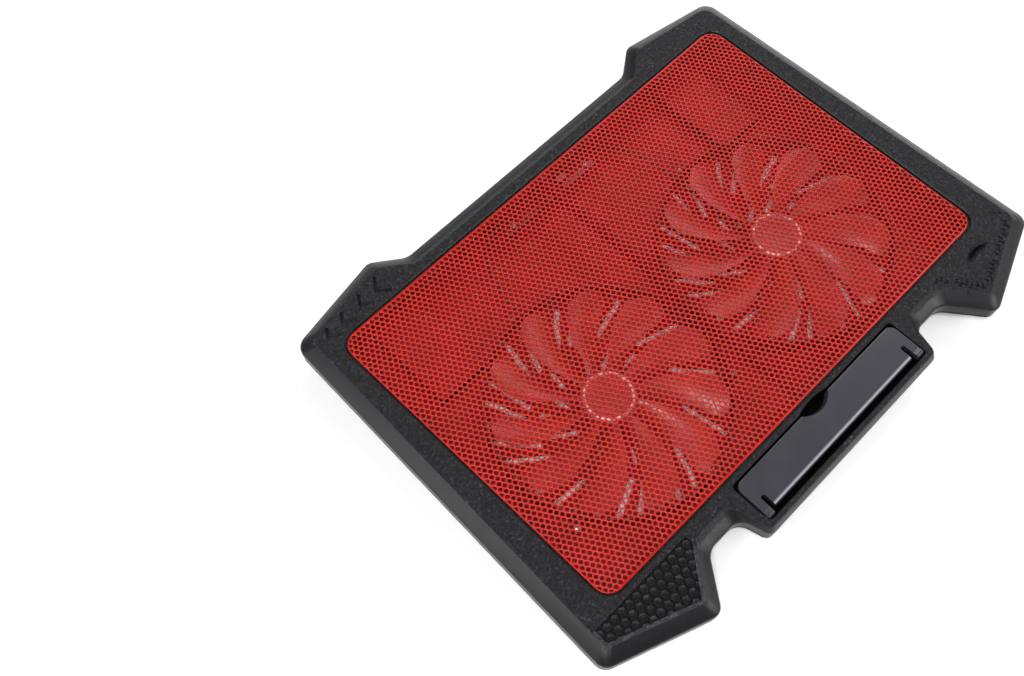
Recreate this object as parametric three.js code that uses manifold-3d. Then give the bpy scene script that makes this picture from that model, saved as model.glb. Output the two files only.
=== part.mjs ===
// Laptop cooling pad: a slim four-lobed plastic tray with a perforated metal deck over two large fans,
// a flip-up laptop stop at the front edge and two fold-out feet under the rear edge.
// Units are millimetres. X points to the user's right, Y to the rear and Z up, with Z = 0 at the desk.
import * as THREE from 'three';
import { mergeVertices } from 'three/addons/utils/BufferGeometryUtils.js';
import Module from 'manifold-3d';

const wasm = await Module();
wasm.setup();

// ---------------------------------------------------------------- driving dimensions

const GAP = 0.3;                    // clearance between neighbouring pieces
const TOP = 28;                     // height of the deck frame above the desk
const BEVEL_FOOT = 23;              // the sloping rim runs from TOP down to here
const PARTING = 14;                 // height of the joint between frame and bottom cover
const COVER_BOTTOM = 1.5;           // the rubber pads hold the cover this far off the desk
const WALL = 2;                     // moulded wall thickness
const RIM_DRAFT = 0.5;              // the frame's outer wall leans in by this much at the parting line
const HULL_INSET = 12;              // the cover's flat bottom is this much smaller than the rim all round
const ARC_STEPS = 3;                // straight pieces in each rounded corner of the outline

const DECK = { width: 327, depth: 210.4, middle: 7.2, corner: 10, thickness: 0.6 };
const DECK_GAP = 1.4;               // shadow gap between the metal deck and the frame
const DECK_TOP = TOP - 0.6;
const LEDGE = { width: 5, outer: 2.6, bottom: 24.2 };
const LEDGE_TOP = DECK_TOP - DECK.thickness - GAP;

const FLAP = { halfWidth: 69.8, rear: -104, bodyFront: -126.7, top: 27.8, bottom: 24.2, corner: 5.2 };
const HINGE = { y: -126.9, z: 25.4, knuckle: 2.4, pin: 1.3 };
const TUB = { halfWidth: 71, rear: -102.8, front: -130.2, floor: 22.5, corner: 3 };

const FAN = { x: 75.6, y: -17.4, base: 6.3, blades: 11, hub: 17, top: 20, shroud: 71.5, height: 19.5 };
const LEAD = { offset: 6, radius: 0.8, z: 7.2 };    // each fan's wires run beside its rear spoke
const PORT = { y: 129.2, width: 13.1, height: 5.8, depth: 14, bottom: 14.9 };
const BOARD = { halfWidth: 38.5, front: 99, rear: 124.4, bottom: 13, top: 14.6 };
const FOOT = { x: 125, halfWidth: 13.5, front: 63, pivotY: 103.6, pivotZ: 5, thickness: 4.6, barrel: 2.6 };
const POCKET = { halfWidth: 14.2, front: 52, rear: 108.5, ceiling: 8.3 };
const PAD = { length: 22, width: 10, thickness: 2.2 };

// Corners of the right half of the outline, from the front centre round to the rear centre. deck is the
// corner of the flat top face, rim is the same corner at the foot of the sloping edge, each with its radius.
const CORNERS = [
  { name: 'tab', deck: [74.0, -133.3], deckRadius: 4, rim: [74.8, -135.7], rimRadius: 5 },
  { name: 'notch beside tab', deck: [80.9, -107.2], deckRadius: 9, rim: [79.8, -117.1], rimRadius: 9 },
  { name: 'notch beside lobe', deck: [106.4, -107.2], deckRadius: 14, rim: [104.6, -117.1], rimRadius: 12 },
  { name: 'front lobe peak', deck: [128.4, -134.0], deckRadius: 3.5, rim: [125.4, -144.2], rimRadius: 7 },
  { name: 'front corner', deck: [182.1, -113.3], deckRadius: 5, rim: [190.5, -119.8], rimRadius: 8 },
  { name: 'rear corner', deck: [173.9, 126.2], deckRadius: 8, rim: [182.2, 131.2], rimRadius: 9 },
  { name: 'rear lobe peak', deck: [115.6, 134.6], deckRadius: 6, rim: [115.2, 143.3], rimRadius: 7 },
  { name: 'rear step', deck: [95.9, 119.8], deckRadius: 10, rim: [96.0, 129.4], rimRadius: 12 },
];

const COVER_SCREWS = [
  [-170, -103], [170, -103], [-169, 10], [169, 10], [-163, 115], [163, 115], [-62, 112], [62, 112],
];
const EAR_ANGLES = [90, 210, 330];
const EAR_RADIUS = 76.4;
const WELD = 0.2;                   // how far two joined shapes run into each other
const ROOT = 0.5;                   // how far posts and seats run into the cover's floor
const THROUGH = [20, 30];           // heights that clear the laptop stop on both sides

// Top frame
const TUB_BLOCK = { halfWidth: 76, front: -140, rear: -99.4 };
const EYE = { radius: 43, reach: 1.7, halfWidth: 14, front: 8, rear: 3 };   // bulge behind the stop's scoop
const RIB = { halfWidth: 2, front: -101, rear: 115, bottom: 21 };
const SCREW_BOSS = { radius: 3.6, bottom: 5.9, hole: 1.5, holeTop: 18 };
const REAR_WALL = { front: 120, rear: 135 };
const PORT_PLACES = [-22, -2];
const SWITCH_WINDOW = { left: 16.6, right: 23.2, bottom: 16.5, top: 18.9 };

// Bottom cover
const SHOULDER = 1.7;               // height of the cover's upright edge
const LIP = { bottom: 1.5, top: 1.6 };
const PORT_BAY = { halfWidth: 34, front: 118, rear: 128.6 };
const SCREW_SEAT = { radius: 4.6, top: 5.6, recess: 3, recessTop: 4, hole: 1.6 };
const FAN_POST = { radius: 3.2, hole: 1.3, holeBottom: 2.8, holeTop: 7 };
const BOARD_POST = { x: 32, y: 103, radius: 3, hole: 1.3, holeBottom: 6, holeTop: 14 };
const POCKET_BLOCK = 17.2;          // half width
const OUTER_SLOTS = { inner: 42, outer: 72.6, count: 34, width: 3.6, lean: -28 };
const INNER_SLOTS = { inner: 21, outer: 40, count: 17, width: 3.4, lean: -24 };

// Laptop stop
const FLAP_SLOT = { outer: 64.6, width: 2.4, rear: -118.4 };
const SCOOP = { radius: 15.4, reach: 4.8 };
const HINGE_PIN = { inner: 65.6, outer: 72.8, clearance: 0.4 };

// Fans, each round its own centre
const SHROUD_WALL = 1.8;
const CUP_TOP = 8;
const SPOKE = { inner: 14, width: 5 };
const EAR = { radius: 3.8, hole: 1.5 };
const STATOR_POST = { inner: 3.1, outer: 5, bottom: 7.8, top: 16.8 };
const LEAD_NOTCH = { halfWidth: 1.5, front: 60, rear: 80, top: 8.9 };
const BLADE = {
  stations: [16.4, 42, 69.5], thickness: 1.1, spans: [24, 21], sweep: 14,
  low: [10.4, 12.4], high: [18.9, 17.6],
};
const CAP = { bottom: 9.2, wall: 1.5, inside: 18.4 };
const CAP_GROOVE = { inner: 13, outer: 15.6, bottom: 19.3 };
const SHAFT = { radius: 1, boss: 2.4, bore: 1.3, bossBottom: 17.2, boreTop: 19.1, bottom: 8.4, top: 18.9 };
const POLE_ANGLES = [0, 90, 180, 270];
const CORE = { radius: 6.4, bore: 5.4, bottom: 11, top: 16 };
const POLE = { inner: 4, outer: 11, width: 3.2, shoeInner: 10.4, shoeOuter: 11.6, shoeWidth: 8.6 };
const COIL = { inner: 7, outer: 10.1, width: 7.4, bottom: 9.7, top: 17.3 };
const COIL_WINDOW = { inner: 6, outer: 11, width: 3.8, bottom: 10.7, top: 16.3 };
const COIL_CARRIER = { inner: 5.5, outer: 9.5, top: 10.4 };
const MOTOR_BOARD = { inner: 5.5, outer: 12.5, bottom: 8.3, top: 8.9, tongueHalf: 2, front: 9, rear: 19.5 };
const BEARING = { inner: 1.3, outer: 2.8, bottom: 8.3, top: 16.6 };
const MAGNET = { inner: 13, outer: 15.1, bottom: 9.8, top: 18.1 };
const HUB_RING = { inner: 13.4, outer: 15.2, bottom: 19.6, top: 20.4 };

// Electronics
const CHIP = { left: -8, right: 0, front: 102, rear: 108, height: 1.4 };
const RESERVOIR = { x: 12, y: 105, radius: 3.1, height: 6 };
const PORT_MOUTH = { wall: 0.4, back: 2.5 };
const TONGUE = { halfWidth: 5.2, bottom: 2.6, top: 0.9, clearance: 1 };
const SWITCH = { left: 12, right: 28, front: 118, rear: 126.4, top: 20.6 };
const TRACK = { left: 15.5, right: 24.5, front: 122, rear: 128, bottom: 15.5, top: 20 };
const SLIDER = { left: 15.9, right: 20.9, front: 122.4, rear: 126, bottom: 15.8, top: 19.7 };
const SWITCH_TAB = { left: 17, right: 19.8, front: 125.5, rear: 131, bottom: 16.9, top: 18.5 };

// Feet and screws: a screw is [shank length, head radius, head height, shank radius]
const FOOT_BOTTOM = 2;
const FOOT_CORNER = 1.5;
const FOOT_ROOT = { depth: 4, step: 0.4 };
const FOOT_PIN = { radius: 1.5, halfLength: 15.7, boreHalf: 16 };
const FOOT_HOLLOW = { halfWidth: 9.5, front: 6, rear: 8, depth: 2.6 };
const FOOT_TIP = { halfWidth: 11.5, length: 3.6, corner: 1.2 };
const FAN_SCREW = [4.6, 2.5, 1.5, 0.9];
const BOARD_SCREW = [6, 2.4, 1.4, 0.9];
const COVER_SCREW = [11, 2.5, 1.7, 1.2];

// ---------------------------------------------------------------- materials

function material(color, roughness, metalness) {
  return new THREE.MeshStandardMaterial({ color, roughness, metalness });
}

const frameBlack = () => material(0x2d2b30, 0.55, 0);
const flapCharcoal = () => material(0x44414b, 0.4, 0);
const deckRed = () => material(0xc0282a, 0.35, 0.2);
const coverBlack = () => material(0x232226, 0.6, 0);
const bladeClear = () => material(0xc9a7a7, 0.2, 0);
const brightTrim = () => material(0xd8d4d4, 0.2, 0.9);
const steel = () => material(0xa8a8ac, 0.3, 0.9);
const darkSteel = () => material(0x55565a, 0.45, 0.8);
const brass = () => material(0xb8974a, 0.35, 0.9);
const copper = () => material(0xb06a3a, 0.35, 0.7);
const boardMask = () => material(0x6a1a1c, 0.5, 0);
const rubberBlack = () => material(0x151515, 0.9, 0);
const leadBlack = () => material(0x1a1a1a, 0.6, 0);

// ---------------------------------------------------------------- solids

function toSolid(geometry) {
  const bare = geometry.clone();
  bare.deleteAttribute('normal');
  bare.deleteAttribute('uv');
  const merged = mergeVertices(bare, 1e-4);
  return new wasm.Manifold(new wasm.Mesh({
    numProp: 3,
    vertProperties: new Float32Array(merged.attributes.position.array),
    triVerts: new Uint32Array(merged.index.array),
  }));
}

function toGeometry(solid) {
  const mesh = solid.getMesh();
  const geometry = new THREE.BufferGeometry();
  geometry.setAttribute('position', new THREE.BufferAttribute(new Float32Array(mesh.vertProperties), 3));
  geometry.setIndex(new THREE.BufferAttribute(new Uint32Array(mesh.triVerts), 1));
  geometry.computeVertexNormals();
  return geometry;
}

const join = (...solids) => solids.reduce((sum, solid) => sum.add(solid));
const cut = (solid, ...tools) => tools.reduce((rest, tool) => rest.subtract(tool), solid);

function box(x0, x1, y0, y1, z0, z1) {
  const geometry = new THREE.BoxGeometry(x1 - x0, y1 - y0, z1 - z0);
  geometry.translate((x0 + x1) / 2, (y0 + y1) / 2, (z0 + z1) / 2);
  return toSolid(geometry);
}

function cylinder(x, y, radius, z0, z1, sides = 12) {
  const geometry = new THREE.CylinderGeometry(radius, radius, z1 - z0, sides);
  geometry.rotateX(Math.PI / 2);
  geometry.translate(x, y, (z0 + z1) / 2);
  return toSolid(geometry);
}

function cylinderAlongX(x0, x1, y, z, radius, sides = 12) {
  const geometry = new THREE.CylinderGeometry(radius, radius, x1 - x0, sides);
  geometry.rotateZ(Math.PI / 2);
  geometry.translate((x0 + x1) / 2, y, z);
  return toSolid(geometry);
}

function tube(x, y, inner, outer, z0, z1, sides = 20) {
  return cut(cylinder(x, y, outer, z0, z1, sides), cylinder(x, y, inner, z0 - 1, z1 + 1, sides));
}

function prism(shape, z0, z1, curveSegments = 2) {
  const geometry = new THREE.ExtrudeGeometry(shape, { depth: z1 - z0, bevelEnabled: false, curveSegments });
  geometry.translate(0, 0, z0);
  return toSolid(geometry);
}

// Turned piece: profile is a list of [radius, height] that starts and ends on the axis.
function turned(profile, sides) {
  const points = profile.map(([radius, height]) => new THREE.Vector2(radius, height));
  const geometry = new THREE.LatheGeometry(points, sides);
  geometry.rotateX(Math.PI / 2);
  return geometry;
}

// Closed skin through rings of equal point count, each { z, points }, listed from the bottom up.
function loft(rings) {
  const count = rings[0].points.length;
  const positions = rings.flatMap(({ z, points }) => points.flatMap((point) => [point.x, point.y, z]));
  const faces = [];
  for (let ring = 0; ring < rings.length - 1; ring += 1) {
    for (let i = 0; i < count; i += 1) {
      const a = ring * count + i;
      const b = ring * count + ((i + 1) % count);
      faces.push(a, b, b + count, a, b + count, a + count);
    }
  }
  const last = (rings.length - 1) * count;
  for (const [a, b, c] of THREE.ShapeUtils.triangulateShape(rings[0].points, [])) {
    faces.push(a, c, b);
  }
  for (const [a, b, c] of THREE.ShapeUtils.triangulateShape(rings[rings.length - 1].points, [])) {
    faces.push(last + a, last + b, last + c);
  }
  const geometry = new THREE.BufferGeometry();
  geometry.setAttribute('position', new THREE.Float32BufferAttribute(positions, 3));
  geometry.setIndex(faces);
  return toSolid(geometry);
}

function roundedRectangle(x0, x1, y0, y1, radius) {
  const shape = new THREE.Shape();
  shape.moveTo(x0 + radius, y0);
  shape.lineTo(x1 - radius, y0);
  shape.absarc(x1 - radius, y0 + radius, radius, -Math.PI / 2, 0);
  shape.lineTo(x1, y1 - radius);
  shape.absarc(x1 - radius, y1 - radius, radius, 0, Math.PI / 2);
  shape.lineTo(x0 + radius, y1);
  shape.absarc(x0 + radius, y1 - radius, radius, Math.PI / 2, Math.PI);
  shape.lineTo(x0, y0 + radius);
  shape.absarc(x0 + radius, y0 + radius, radius, Math.PI, Math.PI * 1.5);
  return shape;
}

function deckRectangle(grow) {
  const halfWidth = DECK.width / 2 + grow;
  const halfDepth = DECK.depth / 2 + grow;
  const [front, rear] = [DECK.middle - halfDepth, DECK.middle + halfDepth];
  return roundedRectangle(-halfWidth, halfWidth, front, rear, DECK.corner + grow);
}

// ---------------------------------------------------------------- outline

// Both halves of one level of the outline, anticlockwise from the front centre.
function outlineCorners(level) {
  const right = CORNERS.map((corner) => ({
    point: new THREE.Vector2(...corner[level]),
    radius: corner[`${level}Radius`],
  }));
  const left = right.map(({ point, radius }) => ({ point: new THREE.Vector2(-point.x, point.y), radius }));
  return [...right, ...left.reverse()];
}

function crossing(a, alongA, b, alongB) {
  const reach = b.clone().sub(a).cross(alongB) / alongA.cross(alongB);
  return a.clone().addScaledVector(alongA, reach);
}

// Rounded outline of one level, moved inwards by inset. Every level has the same number of points.
function outline(level, inset = 0) {
  const corners = outlineCorners(level);
  const count = corners.length;
  const edges = corners.map(({ point }, i) => {
    const along = corners[(i + 1) % count].point.clone().sub(point).normalize();
    const inward = new THREE.Vector2(-along.y, along.x);
    return { start: point.clone().addScaledVector(inward, inset), along };
  });
  return corners.flatMap(({ radius }, i) => {
    const before = edges[(i + count - 1) % count];
    const after = edges[i];
    const vertex = crossing(before.start, before.along, after.start, after.along);
    const turn = Math.atan2(before.along.cross(after.along), before.along.dot(after.along));
    const rounding = turn > 0 ? Math.max(radius - inset, 1.5) : radius + inset;
    const reach = rounding * Math.tan(Math.abs(turn) / 2);
    const side = Math.sign(turn);
    const start = vertex.clone().addScaledVector(before.along, -reach);
    const inward = new THREE.Vector2(-before.along.y, before.along.x);
    const centre = start.clone().addScaledVector(inward, side * rounding);
    const from = start.clone().sub(centre);
    return Array.from({ length: ARC_STEPS + 1 }, (_, step) => (
      from.clone().rotateAround(new THREE.Vector2(), (turn * step) / ARC_STEPS).add(centre)
    ));
  });
}

// ---------------------------------------------------------------- top frame

function flapTub() {
  const shape = roundedRectangle(-TUB.halfWidth, TUB.halfWidth, TUB.front, TUB.rear, TUB.corner);
  const recess = prism(shape, TUB.floor, TOP + 1);
  const bulge = cylinder(0, TUB.rear + EYE.reach - EYE.radius, EYE.radius, TUB.floor, TOP + 1, 64);
  const eye = bulge.intersect(box(
    -EYE.halfWidth, EYE.halfWidth, TUB.rear - EYE.front, TUB.rear + EYE.rear, TUB.floor, TOP + 1,
  ));
  return join(recess, eye);
}

function topFrame() {
  const outer = loft([
    { z: PARTING, points: outline('rim', RIM_DRAFT) },
    { z: BEVEL_FOOT, points: outline('rim') },
    { z: TOP, points: outline('deck') },
  ]);
  const hollow = loft([
    { z: PARTING - 1, points: outline('rim', RIM_DRAFT + WALL) },
    { z: BEVEL_FOOT - 1, points: outline('rim', RIM_DRAFT + WALL) },
    { z: TOP - WALL, points: outline('deck', RIM_DRAFT + WALL) },
  ]);
  const tubBlock = outer.intersect(box(
    -TUB_BLOCK.halfWidth, TUB_BLOCK.halfWidth, TUB_BLOCK.front, TUB_BLOCK.rear, TUB.floor - WALL, TOP,
  ));
  const ledge = prism(deckRectangle(LEDGE.outer), LEDGE.bottom, TOP - WALL + WELD);
  const bosses = COVER_SCREWS.map(([x, y]) => (
    cylinder(x, y, SCREW_BOSS.radius, SCREW_BOSS.bottom, TOP - WALL + WELD, 10)
  ));
  const rib = box(-RIB.halfWidth, RIB.halfWidth, RIB.front, RIB.rear, RIB.bottom, LEDGE_TOP);
  const halfWidth = DECK.width / 2 - LEDGE.width + DECK_GAP;
  const halfDepth = DECK.depth / 2 - LEDGE.width + DECK_GAP;
  const window = prism(roundedRectangle(
    -halfWidth, halfWidth, DECK.middle - halfDepth, DECK.middle + halfDepth, DECK.corner - LEDGE.width / 2,
  ), LEDGE.bottom - 1, TOP + 1);
  const seat = prism(deckRectangle(DECK_GAP), LEDGE_TOP, TOP + 1);
  const shell = cut(join(cut(outer, hollow), tubBlock, ledge), window);
  const body = cut(join(shell, rib.intersect(outer), ...bosses), seat, flapTub());
  const screwHoles = COVER_SCREWS.map(([x, y]) => (
    cylinder(x, y, SCREW_BOSS.hole, SCREW_BOSS.bottom - 0.9, SCREW_BOSS.holeTop, 8)
  ));
  const pinReach = HINGE_PIN.outer + HINGE_PIN.clearance;
  const pinHoles = cylinderAlongX(-pinReach, pinReach, HINGE.y, HINGE.z, HINGE.pin + GAP, 8);
  const ports = PORT_PLACES.map((x) => box(
    x - PORT.width / 2 - GAP, x + PORT.width / 2 + GAP, REAR_WALL.front, REAR_WALL.rear,
    PARTING - 1, PORT.bottom + PORT.height + GAP,
  ));
  const switchWindow = box(
    SWITCH_WINDOW.left, SWITCH_WINDOW.right, REAR_WALL.front, REAR_WALL.rear,
    SWITCH_WINDOW.bottom, SWITCH_WINDOW.top,
  );
  return cut(body, ...screwHoles, pinHoles, ...ports, switchWindow);
}

// ---------------------------------------------------------------- bottom cover

// Slanted air slots in a ring: each is a short bar leaning away from the radius.
function slotRing(x, y, { inner, outer, count, width, lean }) {
  return Array.from({ length: count }, (_, i) => {
    const geometry = new THREE.BoxGeometry(outer - inner, width, WALL + 2);
    geometry.rotateZ(THREE.MathUtils.degToRad(lean));
    geometry.translate((inner + outer) / 2, 0, COVER_BOTTOM + WALL / 2);
    geometry.rotateZ((i / count) * Math.PI * 2);
    geometry.translate(x, y, 0);
    return toSolid(geometry);
  });
}

function bottomCover() {
  const outer = loft([
    { z: COVER_BOTTOM, points: outline('rim', HULL_INSET) },
    { z: PARTING - SHOULDER, points: outline('rim', RIM_DRAFT) },
    { z: PARTING - GAP, points: outline('rim', RIM_DRAFT) },
  ]);
  const hollow = loft([
    { z: COVER_BOTTOM + WALL, points: outline('rim', HULL_INSET + WALL) },
    { z: PARTING - SHOULDER, points: outline('rim', RIM_DRAFT + 2 * WALL) },
    { z: PARTING + 1, points: outline('rim', RIM_DRAFT + 2 * WALL) },
  ]);
  const lipOuter = loft([
    { z: PARTING - LIP.bottom, points: outline('rim', RIM_DRAFT + WALL + GAP) },
    { z: PARTING + LIP.top, points: outline('rim', RIM_DRAFT + WALL + GAP) },
  ]);
  const lipInner = loft([
    { z: PARTING - 3, points: outline('rim', RIM_DRAFT + 2 * WALL) },
    { z: PARTING + 3, points: outline('rim', RIM_DRAFT + 2 * WALL) },
  ]);
  const portBay = box(
    -PORT_BAY.halfWidth, PORT_BAY.halfWidth, PORT_BAY.front, PORT_BAY.rear, PARTING - GAP, PARTING + 3,
  );
  const lip = cut(lipOuter, lipInner, portBay);
  const postBottom = COVER_BOTTOM + ROOT;
  const screwSeats = COVER_SCREWS.map(([x, y]) => (
    cylinder(x, y, SCREW_SEAT.radius, postBottom, SCREW_SEAT.top, 10)
  ));
  const fanEars = fanCentres().flatMap((centre) => (
    EAR_ANGLES.map((angle) => onCircle(centre, EAR_RADIUS, angle))
  ));
  const fanPosts = fanEars.map(([x, y]) => cylinder(x, y, FAN_POST.radius, postBottom, FAN.base - GAP, 8));
  const boardPosts = [-BOARD_POST.x, BOARD_POST.x].map((x) => (
    cylinder(x, BOARD_POST.y, BOARD_POST.radius, postBottom, BOARD.bottom - GAP, 8)
  ));
  const pocketBlocks = [-FOOT.x, FOOT.x].map((x) => box(
    x - POCKET_BLOCK, x + POCKET_BLOCK, POCKET.front - WALL, POCKET.rear + WALL,
    postBottom, POCKET.ceiling + WALL,
  ));
  const shell = join(cut(outer, hollow), lip, ...screwSeats, ...fanPosts, ...boardPosts, ...pocketBlocks);
  const screwRecesses = COVER_SCREWS.flatMap(([x, y]) => [
    cylinder(x, y, SCREW_SEAT.recess, COVER_BOTTOM - 1, SCREW_SEAT.recessTop, 8),
    cylinder(x, y, SCREW_SEAT.hole, SCREW_SEAT.recessTop - 1, SCREW_SEAT.top + 0.4, 6),
  ]);
  const postHoles = fanEars.map(([x, y]) => (
    cylinder(x, y, FAN_POST.hole, FAN_POST.holeBottom, FAN_POST.holeTop, 6)
  ));
  const boardHoles = [-BOARD_POST.x, BOARD_POST.x].map((x) => (
    cylinder(x, BOARD_POST.y, BOARD_POST.hole, BOARD_POST.holeBottom, BOARD_POST.holeTop, 6)
  ));
  const pockets = [-FOOT.x, FOOT.x].flatMap((x) => [
    box(
      x - POCKET.halfWidth, x + POCKET.halfWidth, POCKET.front, POCKET.rear, COVER_BOTTOM - 1, POCKET.ceiling,
    ),
    cylinderAlongX(
      x - FOOT_PIN.boreHalf, x + FOOT_PIN.boreHalf, FOOT.pivotY, FOOT.pivotZ, FOOT_PIN.radius + GAP, 8,
    ),
  ]);
  const padSeats = padPlaces().map(([x, y]) => box(
    x - PAD.length / 2 - GAP, x + PAD.length / 2 + GAP, y - PAD.width / 2 - GAP, y + PAD.width / 2 + GAP,
    COVER_BOTTOM - 1, PAD.thickness + GAP,
  ));
  const slots = fanCentres().flatMap(([x, y]) => [
    ...slotRing(x, y, OUTER_SLOTS),
    ...slotRing(x, y, INNER_SLOTS),
  ]);
  return cut(shell, ...screwRecesses, ...postHoles, ...boardHoles, ...pockets, ...padSeats, ...slots);
}

// ---------------------------------------------------------------- laptop stop

function stopFlap() {
  const outerShape = roundedRectangle(-FLAP.halfWidth, FLAP.halfWidth, HINGE.y - 10, FLAP.rear, FLAP.corner);
  const plate = prism(outerShape, FLAP.bottom, FLAP.top)
    .intersect(box(-TUB.halfWidth, TUB.halfWidth, HINGE.y, FLAP.rear + 1, ...THROUGH));
  const slotInner = FLAP_SLOT.outer - FLAP_SLOT.width;
  const slots = [-1, 1].map((side) => {
    const [x0, x1] = side > 0 ? [slotInner, FLAP_SLOT.outer] : [-FLAP_SLOT.outer, -slotInner];
    return box(x0, x1, HINGE.y - 5, FLAP_SLOT.rear, ...THROUGH);
  });
  const bodyFront = box(-slotInner, slotInner, HINGE.y - 5, FLAP.bodyFront, ...THROUGH);
  const knuckles = [-1, 1].map((side) => cylinderAlongX(
    side > 0 ? FLAP_SLOT.outer : -FLAP.halfWidth, side > 0 ? FLAP.halfWidth : -FLAP_SLOT.outer,
    HINGE.y, HINGE.z, HINGE.knuckle, 12,
  ));
  const pins = [-1, 1].map((side) => cylinderAlongX(
    side > 0 ? HINGE_PIN.inner : -HINGE_PIN.outer, side > 0 ? HINGE_PIN.outer : -HINGE_PIN.inner,
    HINGE.y, HINGE.z, HINGE.pin, 8,
  ));
  const scoop = cylinder(0, FLAP.rear - SCOOP.reach + SCOOP.radius, SCOOP.radius, ...THROUGH, 32);
  return join(cut(plate, ...slots, bodyFront, scoop), ...knuckles, ...pins);
}

// ---------------------------------------------------------------- fans

function fanCentres() {
  return [[-FAN.x, FAN.y], [FAN.x, FAN.y]];
}

function onCircle([x, y], radius, degrees) {
  const angle = THREE.MathUtils.degToRad(degrees);
  return [x + radius * Math.cos(angle), y + radius * Math.sin(angle)];
}

// Bar that runs outwards from the fan's centre at one angle.
function radialBar(degrees, r0, r1, width, z0, z1) {
  const geometry = new THREE.BoxGeometry(r1 - r0, width, z1 - z0);
  geometry.translate((r0 + r1) / 2, 0, (z0 + z1) / 2);
  geometry.rotateZ(THREE.MathUtils.degToRad(degrees));
  return toSolid(geometry);
}

// Fixed frame round the centre (0, 0): shroud, three spokes with screw ears and the motor cup.
function fanFrame(leadSide) {
  const ears = EAR_ANGLES.map((angle) => onCircle([0, 0], EAR_RADIUS, angle));
  const shroud = tube(0, 0, FAN.shroud, FAN.shroud + SHROUD_WALL, FAN.base, FAN.height, 36);
  const spokes = EAR_ANGLES.map((angle) => (
    radialBar(angle, SPOKE.inner, EAR_RADIUS, SPOKE.width, FAN.base, CUP_TOP)
  ));
  const earPlates = ears.map(([x, y]) => cylinder(x, y, EAR.radius, FAN.base, CUP_TOP, 8));
  const earHoles = ears.map(([x, y]) => cylinder(x, y, EAR.hole, FAN.base - 1.3, CUP_TOP + 1, 6));
  const cup = cylinder(0, 0, FAN.hub, FAN.base, CUP_TOP, 24);
  const post = tube(0, 0, STATOR_POST.inner, STATOR_POST.outer, STATOR_POST.bottom, STATOR_POST.top, 16);
  const notchX = leadSide * LEAD.offset;
  const leadNotch = box(
    notchX - LEAD_NOTCH.halfWidth, notchX + LEAD_NOTCH.halfWidth, LEAD_NOTCH.front, LEAD_NOTCH.rear,
    FAN.base - 1, LEAD_NOTCH.top,
  );
  return cut(join(shroud, ...spokes, ...earPlates, cup, post), ...earHoles, leadNotch);
}

// One swept blade as a thin twisted bar: its stations run outwards, and its ends are joined by flat faces.
function blade(start) {
  const { stations, thickness } = BLADE;
  const corners = stations.map((radius, i) => {
    const share = i / (stations.length - 1);
    const span = THREE.MathUtils.degToRad(THREE.MathUtils.lerp(...BLADE.spans, share));
    const sweep = start - THREE.MathUtils.degToRad(BLADE.sweep) * share * share;
    const low = THREE.MathUtils.lerp(...BLADE.low, share);
    const high = THREE.MathUtils.lerp(...BLADE.high, share);
    const place = (angle, z) => [radius * Math.cos(angle), radius * Math.sin(angle), z];
    return [
      place(sweep - span / 2, low), place(sweep + span / 2, high),
      place(sweep + span / 2, high + thickness), place(sweep - span / 2, low + thickness),
    ];
  });
  const faces = [];
  for (let i = 0; i < corners.length - 1; i += 1) {
    for (let k = 0; k < 4; k += 1) {
      const a = i * 4 + k;
      const b = i * 4 + ((k + 1) % 4);
      faces.push(a, b, b + 4, a, b + 4, a + 4);
    }
  }
  const end = (corners.length - 1) * 4;
  faces.push(0, 2, 1, 0, 3, 2, end, end + 1, end + 2, end, end + 2, end + 3);
  const geometry = new THREE.BufferGeometry();
  geometry.setAttribute('position', new THREE.Float32BufferAttribute(corners.flat(2), 3));
  geometry.setIndex(faces);
  return toSolid(geometry);
}

function impeller() {
  const inside = cylinder(0, 0, FAN.hub - CAP.wall, CAP.bottom - 1.2, CAP.inside, 24);
  const cap = cut(
    cylinder(0, 0, FAN.hub, CAP.bottom, FAN.top, 24),
    inside,
    tube(0, 0, CAP_GROOVE.inner, CAP_GROOVE.outer, CAP_GROOVE.bottom, FAN.top + 1, 24),
  );
  const boss = cut(
    cylinder(0, 0, SHAFT.boss, SHAFT.bossBottom, CAP.inside + WELD, 12),
    cylinder(0, 0, SHAFT.bore, SHAFT.bossBottom - 1.2, SHAFT.boreTop + 0.1, 10),
  );
  const bossHole = cylinder(0, 0, SHAFT.bore, SHAFT.bossBottom - WELD, SHAFT.boreTop, 10);
  const blades = Array.from({ length: FAN.blades }, (_, i) => blade((i / FAN.blades) * Math.PI * 2));
  const hub = cylinder(0, 0, FAN.hub - 0.6, CAP.bottom - 1.2, FAN.top + 1, 24);
  const ring = cut(join(...blades), inside, hub);
  return cut(join(cap, boss, ring), bossHole);
}

function statorCore() {
  const poles = POLE_ANGLES.map((angle) => join(
    radialBar(angle, POLE.inner, POLE.outer, POLE.width, CORE.bottom, CORE.top),
    radialBar(angle, POLE.shoeInner, POLE.shoeOuter, POLE.shoeWidth, CORE.bottom, CORE.top),
  ));
  const middle = cylinder(0, 0, CORE.radius, CORE.bottom, CORE.top, 16);
  return cut(join(middle, ...poles), cylinder(0, 0, CORE.bore, CORE.bottom - 1, CORE.top + 1, 12));
}

function windings() {
  const coils = POLE_ANGLES.map((angle) => cut(
    radialBar(angle, COIL.inner, COIL.outer, COIL.width, COIL.bottom, COIL.top),
    radialBar(
      angle, COIL_WINDOW.inner, COIL_WINDOW.outer, COIL_WINDOW.width, COIL_WINDOW.bottom, COIL_WINDOW.top,
    ),
  ));
  const carrier = tube(0, 0, COIL_CARRIER.inner, COIL_CARRIER.outer, COIL.bottom, COIL_CARRIER.top, 16);
  return join(carrier, ...coils);
}

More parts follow.
